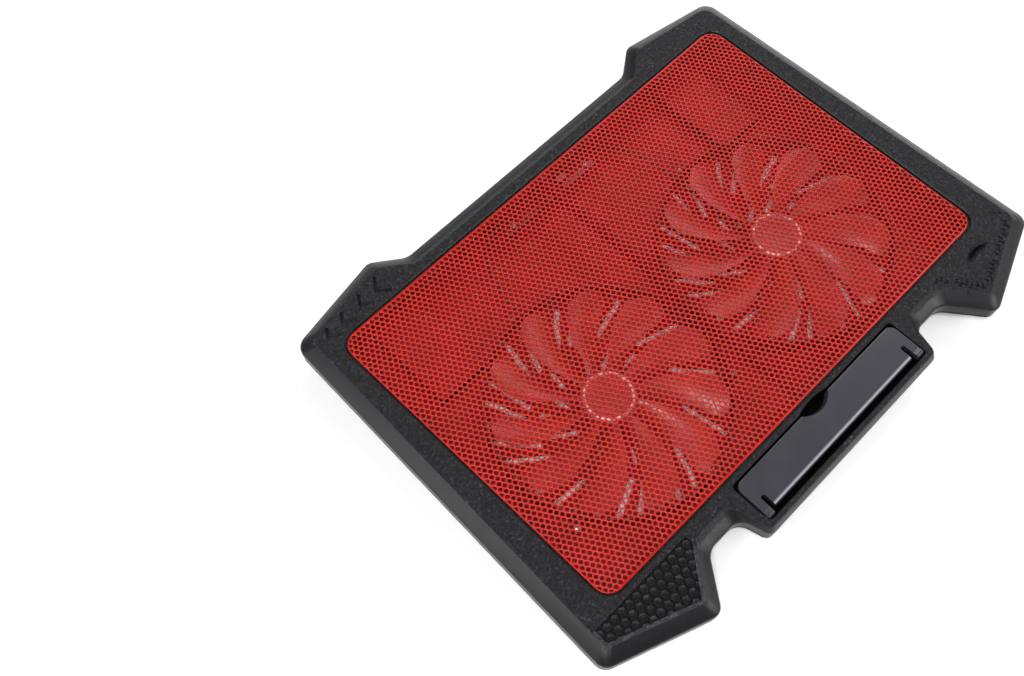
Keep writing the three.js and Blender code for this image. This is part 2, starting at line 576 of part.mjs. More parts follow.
// Ring-shaped board in the motor cup, with a tongue out under the hub to where the wires start.
function motorBoard(leadSide) {
  const { inner, outer, bottom, top, tongueHalf, front, rear } = MOTOR_BOARD;
  const middle = leadSide * LEAD.offset;
  const ring = tube(0, 0, inner, outer, bottom, top, 16);
  return join(ring, box(middle - tongueHalf, middle + tongueHalf, front, rear, bottom, top));
}

function ringOf({ inner, outer, bottom, top }, sides) {
  return tube(0, 0, inner, outer, bottom, top, sides);
}

// ---------------------------------------------------------------- electronics

function controlBoard() {
  const plate = box(-BOARD.halfWidth, BOARD.halfWidth, BOARD.front, BOARD.rear, BOARD.bottom, BOARD.top);
  const chip = box(CHIP.left, CHIP.right, CHIP.front, CHIP.rear, BOARD.top - WELD, BOARD.top + CHIP.height);
  const reservoir = cylinder(
    RESERVOIR.x, RESERVOIR.y, RESERVOIR.radius, BOARD.top - WELD, BOARD.top + RESERVOIR.height, 10,
  );
  const holes = [-BOARD_POST.x, BOARD_POST.x].map((x) => (
    cylinder(x, BOARD_POST.y, SCREW_BOSS.hole, BOARD.bottom - 1, BOARD.top + 1.4, 8)
  ));
  return cut(join(plate, chip, reservoir), ...holes);
}

function usbPort(x) {
  const half = PORT.width / 2;
  const top = PORT.bottom + PORT.height;
  const back = PORT.y - PORT.depth;
  const { wall } = PORT_MOUTH;
  const shell = box(x - half, x + half, back, PORT.y, PORT.bottom, top);
  const mouth = box(
    x - half + wall, x + half - wall, back + PORT_MOUTH.back, PORT.y + 1, PORT.bottom + wall, top - wall,
  );
  const tongue = box(
    x - TONGUE.halfWidth, x + TONGUE.halfWidth, back + TONGUE.clearance, PORT.y - TONGUE.clearance,
    top - TONGUE.bottom, top - TONGUE.top,
  );
  return join(cut(shell, mouth), tongue);
}

function bar({ left, right, front, rear, bottom, top }) {
  return box(left, right, front, rear, bottom, top);
}

function switchBody() {
  return cut(bar({ ...SWITCH, bottom: BOARD.top + GAP }), bar(TRACK));
}

function switchLever() {
  return join(bar(SLIDER), bar(SWITCH_TAB));
}

// Wire bundle from the motor board, beside the rear spoke and up to the edge of the control board.
function fanLead(side) {
  const start = FAN.x - LEAD.offset;
  const points = [
    [start, FAN.y + 17.8, LEAD.z], [start, FAN.y + 40, LEAD.z], [start, FAN.y + 62, LEAD.z],
    [start, FAN.y + 80, LEAD.z], [66, 84, 8.4], [58, 100, 10.8], [48, 108, 13.2],
    [BOARD.halfWidth + GAP, 109.5, (BOARD.bottom + BOARD.top) / 2],
  ].map(([x, y, z]) => new THREE.Vector3(side * x, y, z));
  const path = new THREE.CatmullRomCurve3(points, false, 'centripetal');
  const section = new THREE.Shape();
  section.absarc(0, 0, LEAD.radius, 0, Math.PI * 2);
  return new THREE.ExtrudeGeometry(section, { steps: 24, curveSegments: 4, extrudePath: path });
}

// ---------------------------------------------------------------- feet, pads and screws

function rearFoot(x) {
  const [left, right] = [x - FOOT.halfWidth, x + FOOT.halfWidth];
  const top = FOOT_BOTTOM + FOOT.thickness;
  const leg = prism(roundedRectangle(left, right, FOOT.front, FOOT.pivotY, FOOT_CORNER), FOOT_BOTTOM, top);
  const rootFront = FOOT.pivotY - FOOT_ROOT.depth;
  const root = box(left, right, rootFront, FOOT.pivotY, FOOT_BOTTOM + FOOT_ROOT.step, top);
  const barrel = cylinderAlongX(left, right, FOOT.pivotY, FOOT.pivotZ, FOOT.barrel, 12);
  const pin = cylinderAlongX(
    x - FOOT_PIN.halfLength, x + FOOT_PIN.halfLength, FOOT.pivotY, FOOT.pivotZ, FOOT_PIN.radius, 8,
  );
  const hollow = box(
    x - FOOT_HOLLOW.halfWidth, x + FOOT_HOLLOW.halfWidth, FOOT.front + FOOT_HOLLOW.front,
    FOOT.pivotY - FOOT_HOLLOW.rear, FOOT_BOTTOM - 1, FOOT_BOTTOM + FOOT_HOLLOW.depth,
  );
  return join(cut(join(leg, root), hollow), barrel, pin);
}

function footTip(x) {
  return prism(roundedRectangle(
    x - FOOT_TIP.halfWidth, x + FOOT_TIP.halfWidth, FOOT.front - FOOT_TIP.length, FOOT.front - GAP,
    FOOT_TIP.corner,
  ), FOOT_BOTTOM, FOOT_BOTTOM + FOOT.thickness);
}

function padPlaces() {
  return [[-146, -110], [146, -110], [-146, 117], [146, 117]];
}

function rubberPad(x, y) {
  return prism(roundedRectangle(
    x - PAD.length / 2, x + PAD.length / 2, y - PAD.width / 2, y + PAD.width / 2, 2,
  ), 0, PAD.thickness);
}

// Pan-head screw along Z with its head at z = 0 to -headHeight and its shank above, ready to be flipped.
function screw([shankLength, headRadius, headHeight, shankRadius]) {
  return turned([
    [0, -headHeight], [headRadius * 0.72, -headHeight], [headRadius, -headHeight * 0.55],
    [headRadius, 0], [shankRadius, 0], [shankRadius, shankLength - 1.2], [0, shankLength],
  ], 8);
}

// ---------------------------------------------------------------- assembly

const pad = new THREE.Group();

function add(name, shape, look, parent = pad) {
  const geometry = shape.isBufferGeometry ? shape : toGeometry(shape);
  const mesh = new THREE.Mesh(geometry, look);
  mesh.name = name;
  parent.add(mesh);
  return mesh;
}

add('top_frame', topFrame(), frameBlack());
add('mesh_panel', prism(deckRectangle(0), DECK_TOP - DECK.thickness, DECK_TOP), deckRed());
add('bottom_cover', bottomCover(), coverBlack());
add('stop_flap', stopFlap(), flapCharcoal());

for (const [sideName, side] of [['left', -1], ['right', 1]]) {
  const fan = new THREE.Group();
  fan.position.set(side * FAN.x, FAN.y, 0);
  pad.add(fan);
  add(`${sideName}_fan_frame`, fanFrame(-side), coverBlack(), fan);
  add(`${sideName}_impeller`, impeller(), bladeClear(), fan);
  add(`${sideName}_hub_ring`, ringOf(HUB_RING, 24), brightTrim(), fan);
  add(`${sideName}_magnet_ring`, ringOf(MAGNET, 24), darkSteel(), fan);
  add(`${sideName}_shaft`, cylinder(0, 0, SHAFT.radius, SHAFT.bottom, SHAFT.top, 12), steel(), fan);
  add(`${sideName}_bearing`, ringOf(BEARING, 12), brass(), fan);
  add(`${sideName}_stator_core`, statorCore(), darkSteel(), fan);
  add(`${sideName}_windings`, windings(), copper(), fan);
  add(`${sideName}_motor_board`, motorBoard(-side), boardMask(), fan);
  add(`${sideName}_fan_lead`, fanLead(side), leadBlack());
  EAR_ANGLES.forEach((angle, i) => {
    const fastener = add(`${sideName}_fan_screw_${i + 1}`, screw(FAN_SCREW), steel(), fan);
    const [x, y] = onCircle([0, 0], EAR_RADIUS, angle);
    fastener.position.set(x, y, CUP_TOP + GAP);
    fastener.rotation.x = Math.PI;
  });
}

add('control_board', controlBoard(), boardMask());
add('usb_power_port', usbPort(PORT_PLACES[0]), steel());
add('usb_spare_port', usbPort(PORT_PLACES[1]), steel());
add('switch_body', switchBody(), coverBlack());
add('switch_lever', switchLever(), flapCharcoal());
for (const [name, x] of [['board_screw_left', -BOARD_POST.x], ['board_screw_right', BOARD_POST.x]]) {
  const fastener = add(name, screw(BOARD_SCREW), steel());
  fastener.position.set(x, BOARD_POST.y, BOARD.top + GAP);
  fastener.rotation.x = Math.PI;
}

for (const [sideName, side] of [['left', -1], ['right', 1]]) {
  add(`${sideName}_rear_foot`, rearFoot(side * FOOT.x), coverBlack());
  add(`${sideName}_foot_tip`, footTip(side * FOOT.x), rubberBlack());
}

const padNames = ['front_left_pad', 'front_right_pad', 'rear_left_pad', 'rear_right_pad'];
padPlaces().forEach(([x, y], i) => add(padNames[i], rubberPad(x, y), rubberBlack()));

COVER_SCREWS.forEach(([x, y], i) => {
  const fastener = add(`cover_screw_${i + 1}`, screw(COVER_SCREW), steel());
  fastener.position.set(x, y, SCREW_SEAT.recessTop - GAP);
});

export default pad;
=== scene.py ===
import math

import bmesh
import bpy
from mathutils import Matrix, Vector
from mathutils.geometry import delaunay_2d_cdt


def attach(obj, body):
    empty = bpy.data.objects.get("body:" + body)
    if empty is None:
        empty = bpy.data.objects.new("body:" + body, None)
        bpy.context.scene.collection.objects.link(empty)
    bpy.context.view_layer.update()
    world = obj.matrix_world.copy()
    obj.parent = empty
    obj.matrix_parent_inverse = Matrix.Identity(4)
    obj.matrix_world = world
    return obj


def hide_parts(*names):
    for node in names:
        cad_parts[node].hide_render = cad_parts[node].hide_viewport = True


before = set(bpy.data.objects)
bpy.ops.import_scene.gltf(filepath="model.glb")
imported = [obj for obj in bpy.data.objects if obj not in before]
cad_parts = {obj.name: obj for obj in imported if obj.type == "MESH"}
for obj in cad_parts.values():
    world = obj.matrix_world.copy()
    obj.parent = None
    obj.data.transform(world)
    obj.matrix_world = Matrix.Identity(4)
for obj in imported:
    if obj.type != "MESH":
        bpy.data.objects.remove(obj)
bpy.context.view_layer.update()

# The laptop cooling pad's visual model. Shapes are worked out in millimetres in the row frame
# (X to the user's right, Y to the rear, Z up) and become metres when each piece is finished.

MM = 0.001

# ------------ dimensions shared with the frame

TOP = 28.0
BEVEL_FOOT = 23.0
PARTING = 14.0
COVER_BOTTOM = 1.5
DECK_HALF = (163.5, 105.2)
DECK_MIDDLE = 7.2
DECK_CORNER = 10
DECK_TOP = 27.4
DECK_BOTTOM = 26.8
SCALED_CORNER = (-109.5, -103.2)
THUMB_DIMPLE = (147.0, -125.1)
STOP_PIN = (-126.9, 25.4)
STOP_HALF = 69.8
FAN_X = 75.6
FAN_Y = -17.4
BLADES = 11
EAR_RADIUS = 76.4
EAR_ANGLES = (90, 210, 330)
FOOT_X = 125.0
FOOT_PIN = (103.6, 5)
PORTS = {"usb_power_port": -22, "usb_spare_port": -2}
PADS = {"front_left_pad": (-146, -110), "front_right_pad": (146, -110),
        "rear_left_pad": (-146, 117), "rear_right_pad": (146, 117)}
BOARD_SCREWS = {"board_screw_left": (-32, 103), "board_screw_right": (32, 103)}
COVER_SCREWS = [(-170, -103), (170, -103), (-169, 10), (169, 10), (-163, 115), (163, 115),
                (-62, 112), (62, 112)]
SIDES = {"left": -1, "right": 1}
FAN_EARS = [(side * FAN_X + EAR_RADIUS * math.cos(math.radians(angle)),
             FAN_Y + EAR_RADIUS * math.sin(math.radians(angle)))
            for side in SIDES.values() for angle in EAR_ANGLES]

# Right half of the outline, front to rear: deck corner, its radius, rim corner, its radius.
CORNERS = [
    ((74.0, -133.3), 4, (74.8, -135.7), 5),
    ((80.9, -107.2), 9, (79.8, -117.1), 9),
    ((106.4, -107.2), 14, (104.6, -117.1), 12),
    ((128.4, -134.0), 3.5, (125.4, -144.2), 7),
    ((182.1, -113.3), 5, (190.5, -119.8), 8),
    ((173.9, 126.2), 8, (182.2, 131.2), 9),
    ((115.6, 134.6), 6, (115.2, 143.3), 7),
    ((95.9, 119.8), 10, (96.0, 129.4), 12),
]

# ------------ dimensions of the visual model only

HOLE_PITCH = 3.49
HOLE_ROW = 2.775
HOLE_SHARE = 0.70
DECK_BORDER = 0.75
SMALLEST_HOLE_AREA = 1.3

# In metres, for the materials: what lies below the deck, and the ledge that the deck's edge rests on, where a
# red glow is painted.
WELL_HALF, WELL_MIDDLE, WELL_TOP = (0.176, 0.1092), 0.0107, 0.0263
LEDGE_HALF, LEDGE_DIAGONAL, LEDGE_RISE = (0.1629, 0.1046), 0.2615, 0.0004

# Floor and camera place in metres, lens and sensor in millimetres, turn in radians, glow as strength.
FLOOR_RADIUS, FLOOR_SIDES, FLOOR_DROP = 1.45, 128, 0.0002
HORIZON_GLOW, OVERHEAD_GLOW, GLOW_FALL = 0.75, 0.19, 0.3
CAMERA_LENS, CAMERA_SENSOR, CAMERA_CLIP = 40.823, 36, 0.01
CAMERA_PLACE = (-0.29983, -0.15997, 0.62984)
CAMERA_TURN = (0.451977, -0.003008, -0.788197)

# Name, place, target, size and power of each softbox.
LIGHTS = (
    ("key_softbox", (-0.52, -0.28, 1.2), (0, 0, 0), (0.36, 0.36), 13.5),
    ("left_softbox", (-1.1, 0.35, 0.8), (-0.15, 0, 0), (0.5, 1.4), 6.8),
    ("rear_softbox", (0.98, 0.55, 0.95), (0.1, 0.05, 0), (0.8, 0.8), 15),
    ("front_strip", (0.55, -0.85, 0.72), (0.0, -0.1, 0), (0.9, 0.4), 6),
)

# Tolerances in millimetres; FLATNESS compares a volume with an area.
WELD = 1e-4
SEAM = 1e-3
FLATNESS = 1e-3
AXIS_RADIUS = 1e-3
FILL_NEARNESS = 1e-6

# ------------ mesh data: (vertices, faces)


def around(loop):
    """Each item of a closed loop with the one after it."""
    return list(zip(loop, loop[1:] + loop[:1]))


def outline(level, inset, steps=8):
    """Rounded outline of one level ("deck" or "rim"), anticlockwise, moved inwards by inset."""
    pick = 0 if level == "deck" else 2
    right = [(Vector(c[pick]), c[pick + 1]) for c in CORNERS]
    left = [(Vector((-p.x, p.y)), r) for p, r in reversed(right)]
    corners = right + left
    edges = []
    for (point, _), (after, _) in around(corners):
        along = (after - point).normalized()
        edges.append((point + Vector((-along.y, along.x)) * inset, along))
    loop = []
    for i, (_, radius) in enumerate(corners):
        (start_a, along_a), (start_b, along_b) = edges[i - 1], edges[i]
        cross = along_a.x * along_b.y - along_a.y * along_b.x
        gap = start_b - start_a
        vertex = start_a + along_a * ((gap.x * along_b.y - gap.y * along_b.x) / cross)
        turn = math.atan2(cross, along_a.dot(along_b))
        rounding = max(radius - inset, 1.5) if turn > 0 else radius + inset
        start = vertex - along_a * (rounding * math.tan(abs(turn) / 2))
        centre = start + Vector((-along_a.y, along_a.x)) * math.copysign(rounding, turn)
        for step in range(steps + 1):
            spin = Matrix.Rotation(turn * step / steps, 2)
            loop.append(centre + spin @ (start - centre))
    return loop


def at(loop, z):
    return [Vector((p[0], p[1], z)) for p in loop]


def outline_at(level, inset, z, steps=8):
    return at(outline(level, inset, steps), z)


def mix(a, b, share):
    return [p.lerp(q, share) for p, q in zip(a, b)]


def bend(a, b, c, steps):
    """Rings that round the corner b between rings a and c, both ends included."""
    shares = [i / steps for i in range(steps + 1)]
    return [mix(mix(a, b, t), mix(b, c, t), t) for t in shares]


def is_flat(a, b, c, d):
    """Whether four corners lie near enough in one plane to stay one face."""
    return abs((b - a).cross(c - a).dot(d - a)) <= FLATNESS * (c - a).cross(d - b).length


def loft(rings, closed=False):
    """Skin through rings of equal count, anticlockwise and from the bottom up; closed ones form a loop."""
    count = len(rings[0])
    verts = [v for ring in rings for v in ring]
    faces = []
    for k in range(len(rings) - (0 if closed else 1)):
        low, high = k * count, ((k + 1) % len(rings)) * count
        for i in range(count):
            j = (i + 1) % count
            a, b, c, d = low + i, low + j, high + j, high + i
            flat = is_flat(verts[a], verts[b], verts[c], verts[d])
            faces += [(a, b, c, d)] if flat else [(a, b, c), (a, c, d)]
    if not closed:
        faces.append(tuple(reversed(range(count))))
        faces.append(tuple(range((len(rings) - 1) * count, len(rings) * count)))
    return verts, faces


def merge(*parts):
    verts, faces = [], []
    for part_verts, part_faces in parts:
        base = len(verts)
        verts.extend(Vector(v) for v in part_verts)
        faces.extend(tuple(base + i for i in face) for face in part_faces)
    return verts, faces


def moved(part, matrix):
    return [matrix @ Vector(v) for v in part[0]], part[1]


def shift(x, y, z=0.0):
    return Matrix.Translation((x, y, z))


def turn_z(degrees):
    return Matrix.Rotation(math.radians(degrees), 4, "Z")


def prism(loop, z0, z1):
    return loft([at(loop, z0), at(loop, z1)])


def box(x0, x1, y0, y1, z0, z1):
    return prism([(x0, y0), (x1, y0), (x1, y1), (x0, y1)], z0, z1)


def rounded_rectangle(x0, x1, y0, y1, radius, steps=6):
    loop = []
    for cx, cy, start in (
        (x1 - radius, y0 + radius, -90),
        (x1 - radius, y1 - radius, 0),
        (x0 + radius, y1 - radius, 90),
        (x0 + radius, y0 + radius, 180),
    ):
        for step in range(steps + 1):
            angle = math.radians(start + 90 * step / steps)
            loop.append((cx + radius * math.cos(angle), cy + radius * math.sin(angle)))
    return loop


def soft_slab(x0, x1, y0, y1, z0, z1, radius, edge, steps):
    """Rounded slab whose top and bottom rims are rounded by edge."""
    edge_steps, sharpest = 3, 0.05
    rings = []
    for low in (True, False):
        for k in range(edge_steps + 1):
            angle = math.pi / 2 * k / edge_steps
            inset = edge * (1 - math.sin(angle)) if low else edge * (1 - math.cos(angle))
            height = z0 + edge * (1 - math.cos(angle)) if low else z1 - edge * (1 - math.sin(angle))
            corner = max(radius - inset, sharpest)
            rings.append(at(rounded_rectangle(
                x0 + inset, x1 - inset, y0 + inset, y1 - inset, corner, steps), height))
    return loft(rings)


def deck_loop(grow):
    w, h = DECK_HALF[0] + grow, DECK_HALF[1] + grow
    return rounded_rectangle(-w, w, DECK_MIDDLE - h, DECK_MIDDLE + h, DECK_CORNER + grow, 8)


def circle(x, y, radius, sides):
    angles = [2 * math.pi * i / sides for i in range(sides)]
    return [(x + radius * math.cos(a), y + radius * math.sin(a)) for a in angles]


def turned(profile, sides, closed=False):
    """Piece turned about Z: profile lists (radius, height) from the bottom up the outside."""
    return loft([at(circle(0, 0, max(r, AXIS_RADIUS), sides), z) for r, z in profile], closed)


def along_x(x0, x1, y, z, radius, sides, edge=0.0):
    """Round bar from x0 to x1 whose ends are chamfered by edge."""
    profile = [(radius - edge, x0), (radius, x0 + edge), (radius, x1 - edge), (radius - edge, x1)]
    spin = Matrix(((0, 0, 1, 0), (1, 0, 0, y), (0, 1, 0, z), (0, 0, 0, 1)))
    return moved(turned(profile if edge else profile[1:3], sides), spin)


def strip(points, width, z_top, depth):
    """Groove tool along a flat polyline: a V about width across at z_top, and depth below it."""
    lift, floor_share, sharpest = 0.25, 0.25, 0.35
    low, high = z_top - depth, z_top + depth * lift * 2
    rings = []
    for i, p in enumerate(points):
        before, after = points[max(i - 1, 0)], points[min(i + 1, len(points) - 1)]
        along = (after - before).normalized()
        side = Vector((-along.y, along.x))
        mitre = 1.0
        if 0 < i < len(points) - 1:
            mitre = 1 / max(abs((p - before).normalized().dot(along)), sharpest)
        reach = width / 2 * mitre
        rings.append([Vector((*(p + side * reach * share), z)) for share, z in (
            (floor_share, low), (-floor_share, low), (-1 - lift, high), (1 + lift, high))])
    return loft(rings)


# ------------ objects


def clean(mesh, gap, after_cuts=False):
    """Joins points closer than gap, drops what cuts leave behind, and turns every face outwards."""
    work = bmesh.new()
    work.from_mesh(mesh)
    bmesh.ops.remove_doubles(work, verts=work.verts, dist=gap)
    if after_cuts:
        bmesh.ops.dissolve_degenerate(work, edges=work.edges, dist=gap)
        bmesh.ops.delete(work, geom=[v for v in work.verts if not v.link_faces], context="VERTS")
    bmesh.ops.recalc_face_normals(work, faces=work.faces)
    work.to_mesh(mesh)
    work.free()


def add_object(name, data):
    made = bpy.data.objects.new(name, data)
    bpy.context.scene.collection.objects.link(made)
    return made


def raw_object(name, part):
    mesh = bpy.data.meshes.new(name)
    mesh.from_pydata([tuple(v) for v in part[0]], [], part[1])
    mesh.update()
    clean(mesh, WELD)
    return add_object(name, mesh)


def bake_modifiers(target):
    graph = bpy.context.evaluated_depsgraph_get()
    mesh = bpy.data.meshes.new_from_object(target.evaluated_get(graph))
    old = target.data
    target.modifiers.clear()
    target.data = mesh
    bpy.data.meshes.remove(old)


def boolean(target, *parts, operation="DIFFERENCE", overlapping=False):
    """Cuts or joins target with pieces of mesh data together, or with one object, which it uses up."""
    tool = parts[0]
    if not isinstance(tool, bpy.types.Object):
        tool = raw_object("tool", merge(*parts))
    modifier = target.modifiers.new("cut", "BOOLEAN")
    modifier.operation = operation
    modifier.solver = "EXACT"
    modifier.use_self = overlapping
    modifier.object = tool
    bake_modifiers(target)
    bpy.data.objects.remove(tool)


def join(target, *parts):
    boolean(target, *parts, operation="UNION")


def bevel(target, width, angle):
    """Rounds every edge sharper than angle, in degrees."""
    modifier = target.modifiers.new("edge", "BEVEL")
    modifier.width = width
    modifier.segments = 2
    modifier.limit_method = "ANGLE"
    modifier.angle_limit = math.radians(angle)
    bake_modifiers(target)


def finish(target, name, body, material, replaces, smooth, weighted=False):
    """Metres, normals, smooth shading, material and the frame's links."""
    if not isinstance(target, bpy.types.Object):
        target = raw_object(name, target)
    mesh = target.data
    target.name = mesh.name = name
    clean(mesh, SEAM, after_cuts=True)
    mesh.transform(Matrix.Scale(MM, 4))
    mesh.materials.clear()
    mesh.materials.append(material)
    mesh.shade_smooth()
    mesh.set_sharp_from_angle(angle=math.radians(smooth))
    if weighted:
        modifier = target.modifiers.new("flat_faces", "WEIGHTED_NORMAL")
        modifier.keep_sharp = True
        bake_modifiers(target)
    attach(target, body)
    if replaces:
        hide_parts(*replaces)


# ------------ materials

# Where nearly all of a noise's values lie.
NOISE_RANGE = (0.3, 0.7)


class Nodes:
    """A material's node tree, with short calls for the nodes used here."""

    def __init__(self, name, base, roughness, metallic=0.0):
        self.material = bpy.data.materials.new(name)
        self.material.use_nodes = True
        self.tree = self.material.node_tree
        self.shader = self.tree.nodes["Principled BSDF"]
        self.base = base
        self.set(Base_Color=(*base, 1), Roughness=roughness, Metallic=metallic)
        self.place = self.new("TexCoord").outputs["Object"]

    def put(self, value, socket):
        """Links an output to a socket, or sets a constant on it."""
        if isinstance(value, bpy.types.NodeSocket):
            self.tree.links.new(value, socket)
        else:
            socket.default_value = value

    def fill(self, node, inputs):
        for key, value in inputs.items():
            self.put(value, node.inputs[key.replace("_", " ")])

    def new(self, kind, **inputs):
        node = self.tree.nodes.new("ShaderNode" + kind)
        self.fill(node, inputs)
        return node

    def set(self, **inputs):
        self.fill(self.shader, inputs)

    def noise(self, scale, detail=3.0, rough=0.55, vector=None):
        node = self.new("TexNoise", Vector=vector or self.place, Scale=scale, Detail=detail, Roughness=rough)
        return node.outputs["Fac"]

    def patches(self, scale, detail):
        return self.span(self.noise(scale, detail), *NOISE_RANGE)

    def voronoi(self, scale, feature, randomness, vector=None):
        node = self.new("TexVoronoi", Vector=vector or self.place, Scale=scale, Randomness=randomness)
        node.feature = feature
        return node.outputs["Distance"]

    def warped(self, scale, amount):
        """Object place pushed about by a noise, for creases that wander."""
        noise = self.new("TexNoise", Vector=self.place, Scale=scale)
        push = self.new("VectorMath")
        push.operation = "MULTIPLY_ADD"
        for value, socket in zip((noise.outputs["Color"], (amount, amount, amount), self.place), push.inputs):
            self.put(value, socket)
        return push.outputs[0]

    def span(self, value, low, high, out_low=0.0, out_high=1.0):
        """Value taken from low..high to out_low..out_high, and held at both ends."""
        node = self.new("MapRange", Value=value, From_Min=low, From_Max=high, To_Min=out_low, To_Max=out_high)
        return node.outputs["Result"]

    def math(self, operation, a, b=0.0):
        node = self.new("Math")
        node.operation = operation
        self.put(a, node.inputs[0])
        self.put(b, node.inputs[1])
        return node.outputs[0]

    def times(self, a, b):
        return self.math("MULTIPLY", a, b)

    def plus(self, a, b):
        return self.math("ADD", a, b)

    def less(self, a, b):
        return self.math("LESS_THAN", a, b)

    def away(self, value, middle=0.0):
        return self.math("ABSOLUTE", self.math("SUBTRACT", value, middle))

    def blend(self, share, low, high):
        """Colour between low and high, each a colour or an output."""
        node = self.new("Mix")
        node.data_type = "RGBA"
        self.put(share, node.inputs["Factor"])
        for value, socket in ((low, node.inputs[6]), (high, node.inputs[7])):
            self.put((*value, 1) if isinstance(value, tuple) else value, socket)
        return node.outputs[2]

    def axes(self, vector=None):
        return self.new("SeparateXYZ", Vector=vector or self.place).outputs

    def normal_z(self):
        return self.axes(self.new("NewGeometry").outputs["Normal"])["Z"]

    def within(self, axes, half_x, half_y, middle_y, middle_x=0.0):
        """1 inside an upright block round (middle_x, middle_y), 0 outside it."""
        return self.times(self.less(self.away(axes["X"], middle_x), half_x),
                          self.less(self.away(axes["Y"], middle_y), half_y))

    def under_deck(self):
        """1 for what lies below the deck's opening, 0 elsewhere."""
        axes = self.axes()
        diagonal = self.plus(self.away(axes["X"]), self.away(axes["Y"], DECK_MIDDLE * MM))
        ledge = self.within(axes, *LEDGE_HALF, DECK_MIDDLE * MM)
        ledge = self.times(self.less(diagonal, LEDGE_DIAGONAL), ledge)
        limit = self.plus(self.times(ledge, LEDGE_RISE), WELL_TOP)
        return self.times(self.within(axes, *WELL_HALF, WELL_MIDDLE), self.less(axes["Z"], limit))

    def bump(self, height, strength, distance):
        node = self.new("Bump", Height=height, Strength=strength, Distance=distance)
        self.set(Normal=node.outputs["Normal"])

    def tint(self, share, darker, lighter):
        """Base colour that wanders between a darker and a lighter shade of itself."""
        low = tuple(c * darker for c in self.base)
        high = tuple(min(c * lighter, 1.0) for c in self.base)
        self.set(Base_Color=self.blend(share, low, high))

    def rub(self, share, low, high):
        """Roughness that wanders between low and high."""
        self.set(Roughness=self.span(share, *NOISE_RANGE, low, high))


def leather_plastic():
    """Black moulding: creased leather grain on the flat top, finer and shinier on slopes and walls; with
    painted light and shade on the scales, painted shade in the tub and the thumb dimple, and a painted red
    glow below the deck.
    """
    n = Nodes("frame_plastic", (0.0062, 0.0056, 0.0078), 0.46)
    facing, axes = n.normal_z(), n.axes()
    flat = n.span(facing, 0.9, 0.97)
    scaled = n.times(n.less(axes["X"], SCALED_CORNER[0] * MM), n.less(axes["Y"], SCALED_CORNER[1] * MM))
    scaly = n.times(scaled, flat)
    share = n.times(flat, n.span(scaled, 0.0, 1.0, 1.0, 0.3))

    creases = n.span(n.voronoi(330, "DISTANCE_TO_EDGE", 1.0, n.warped(420, 0.003)), 0.0, 0.16)
    wrinkles = n.span(n.noise(560, 4.0, 0.7), 0.38, 0.6)
    grain = n.times(n.plus(n.times(creases, 0.6), wrinkles), share)
    n.bump(n.plus(grain, n.times(n.noise(2600, 2.0, 0.6), 0.08)), 1.0, 0.0011)

    mottle = n.times(wrinkles, n.plus(n.times(creases, 0.6), 0.4))
    tone = n.blend(mottle, (0.0004, 0.0003, 0.0006), (0.027, 0.0245, 0.033))
    outside = n.blend(share, (0.0062, 0.0058, 0.0074), tone)
    # Painted light and shade on the scales: their highest edges are coloured lighter as a painted highlight,
    # and their low parts near-black as painted shade.
    painted_scale_highlight = n.blend(wrinkles, (0.012, 0.0115, 0.015), (0.05, 0.048, 0.058))
    scales = n.blend(n.span(axes["Z"], 27.55 * MM, 27.94 * MM), (0.0008, 0.0008, 0.0011), painted_scale_highlight)
    # Painted shade: the tub floor and the thumb dimple's deep part are darkened to near-black.
    tub_painted_shade = n.times(flat, n.span(axes["Z"], 22.6 * MM, 26.8 * MM, 1.0, 0.0))
    dimple = n.times(n.within(axes, 0.014, 0.0075, -0.1105, 0.148),
                     n.span(axes["Z"], 26.5 * MM, 27.6 * MM, 1.0, 0.0))
    depth = n.math("MAXIMUM", tub_painted_shade, dimple)
    with_painted_shade = n.blend(depth, n.blend(scaly, outside, scales), (0.0008, 0.0008, 0.001))
    # Painted red glow: everything below the deck is coloured dark red, standing in for red light inside the
    # pad.
    n.set(Base_Color=n.blend(n.under_deck(), with_painted_shade, (0.2, 0.003, 0.004)))

    n.set(Roughness=n.plus(n.span(n.noise(90, 2.0), *NOISE_RANGE, 0.26, 0.33), n.times(flat, 0.24)))
    # The sheen is turned down in the tub and the dimple, as painted shade too.
    sheen = n.times(n.span(facing, 0.2, 0.6, 0.12, 0.4), n.span(depth, 0.0, 1.0, 1.0, 0.15))
    n.set(Specular_IOR_Level=0.4)
    n.set(Specular_IOR_Level=n.times(sheen, n.span(scaly, 0.0, 1.0, 1.0, 0.5)))
    return n.material


def moulded(name, base, roughness, scale=2200, strength=0.25, distance=0.0001, spread=0.06, metallic=0.0):
    """Plain moulded plastic, rubber or metal with a fine grain and a little uneven gloss."""
    n = Nodes(name, base, roughness, metallic)
    n.bump(n.noise(scale, 3.0, 0.6), strength, distance)
    n.tint(n.patches(60, 2.0), 0.88, 1.14)
    n.rub(n.noise(240, 3.0), roughness - spread, roughness + spread)
    return n


def flap_plastic():
    """Charcoal moulding with a painted highlight along its rounded front edge."""
    n = moulded("flap_plastic", (0.021, 0.019, 0.027), 0.36, 3000, 0.3, 0.00006)
    axes = n.axes()
    # Painted highlight: a light colour along the rounded front edge, where the roughness is also lower.
    front = n.span(axes["Y"], -125.2 * MM, -123.9 * MM, 1.0, 0.0)
    edge = n.times(front, n.span(axes["Z"], 26.9 * MM, 27.3 * MM))
    edge = n.times(edge, n.within(axes, 0.0614, 0.01, -0.1267))
    plain = n.shader.inputs["Base Color"].links[0].from_socket
    n.set(Base_Color=n.blend(edge, plain, (0.2, 0.19, 0.22)), Roughness=n.span(edge, 0.0, 1.0, 0.36, 0.24))
    return n.material


def deck_paint():
    n = Nodes("deck_paint", (0.36, 0.0085, 0.003), 0.34)
    n.set(Specular_IOR_Level=0.25)
    n.bump(n.noise(1500, 2.0, 0.5), 0.12, 0.00008)
    n.tint(n.patches(45, 3.0), 0.88, 1.14)
    n.rub(n.noise(400, 2.0), 0.28, 0.4)
    return n.material


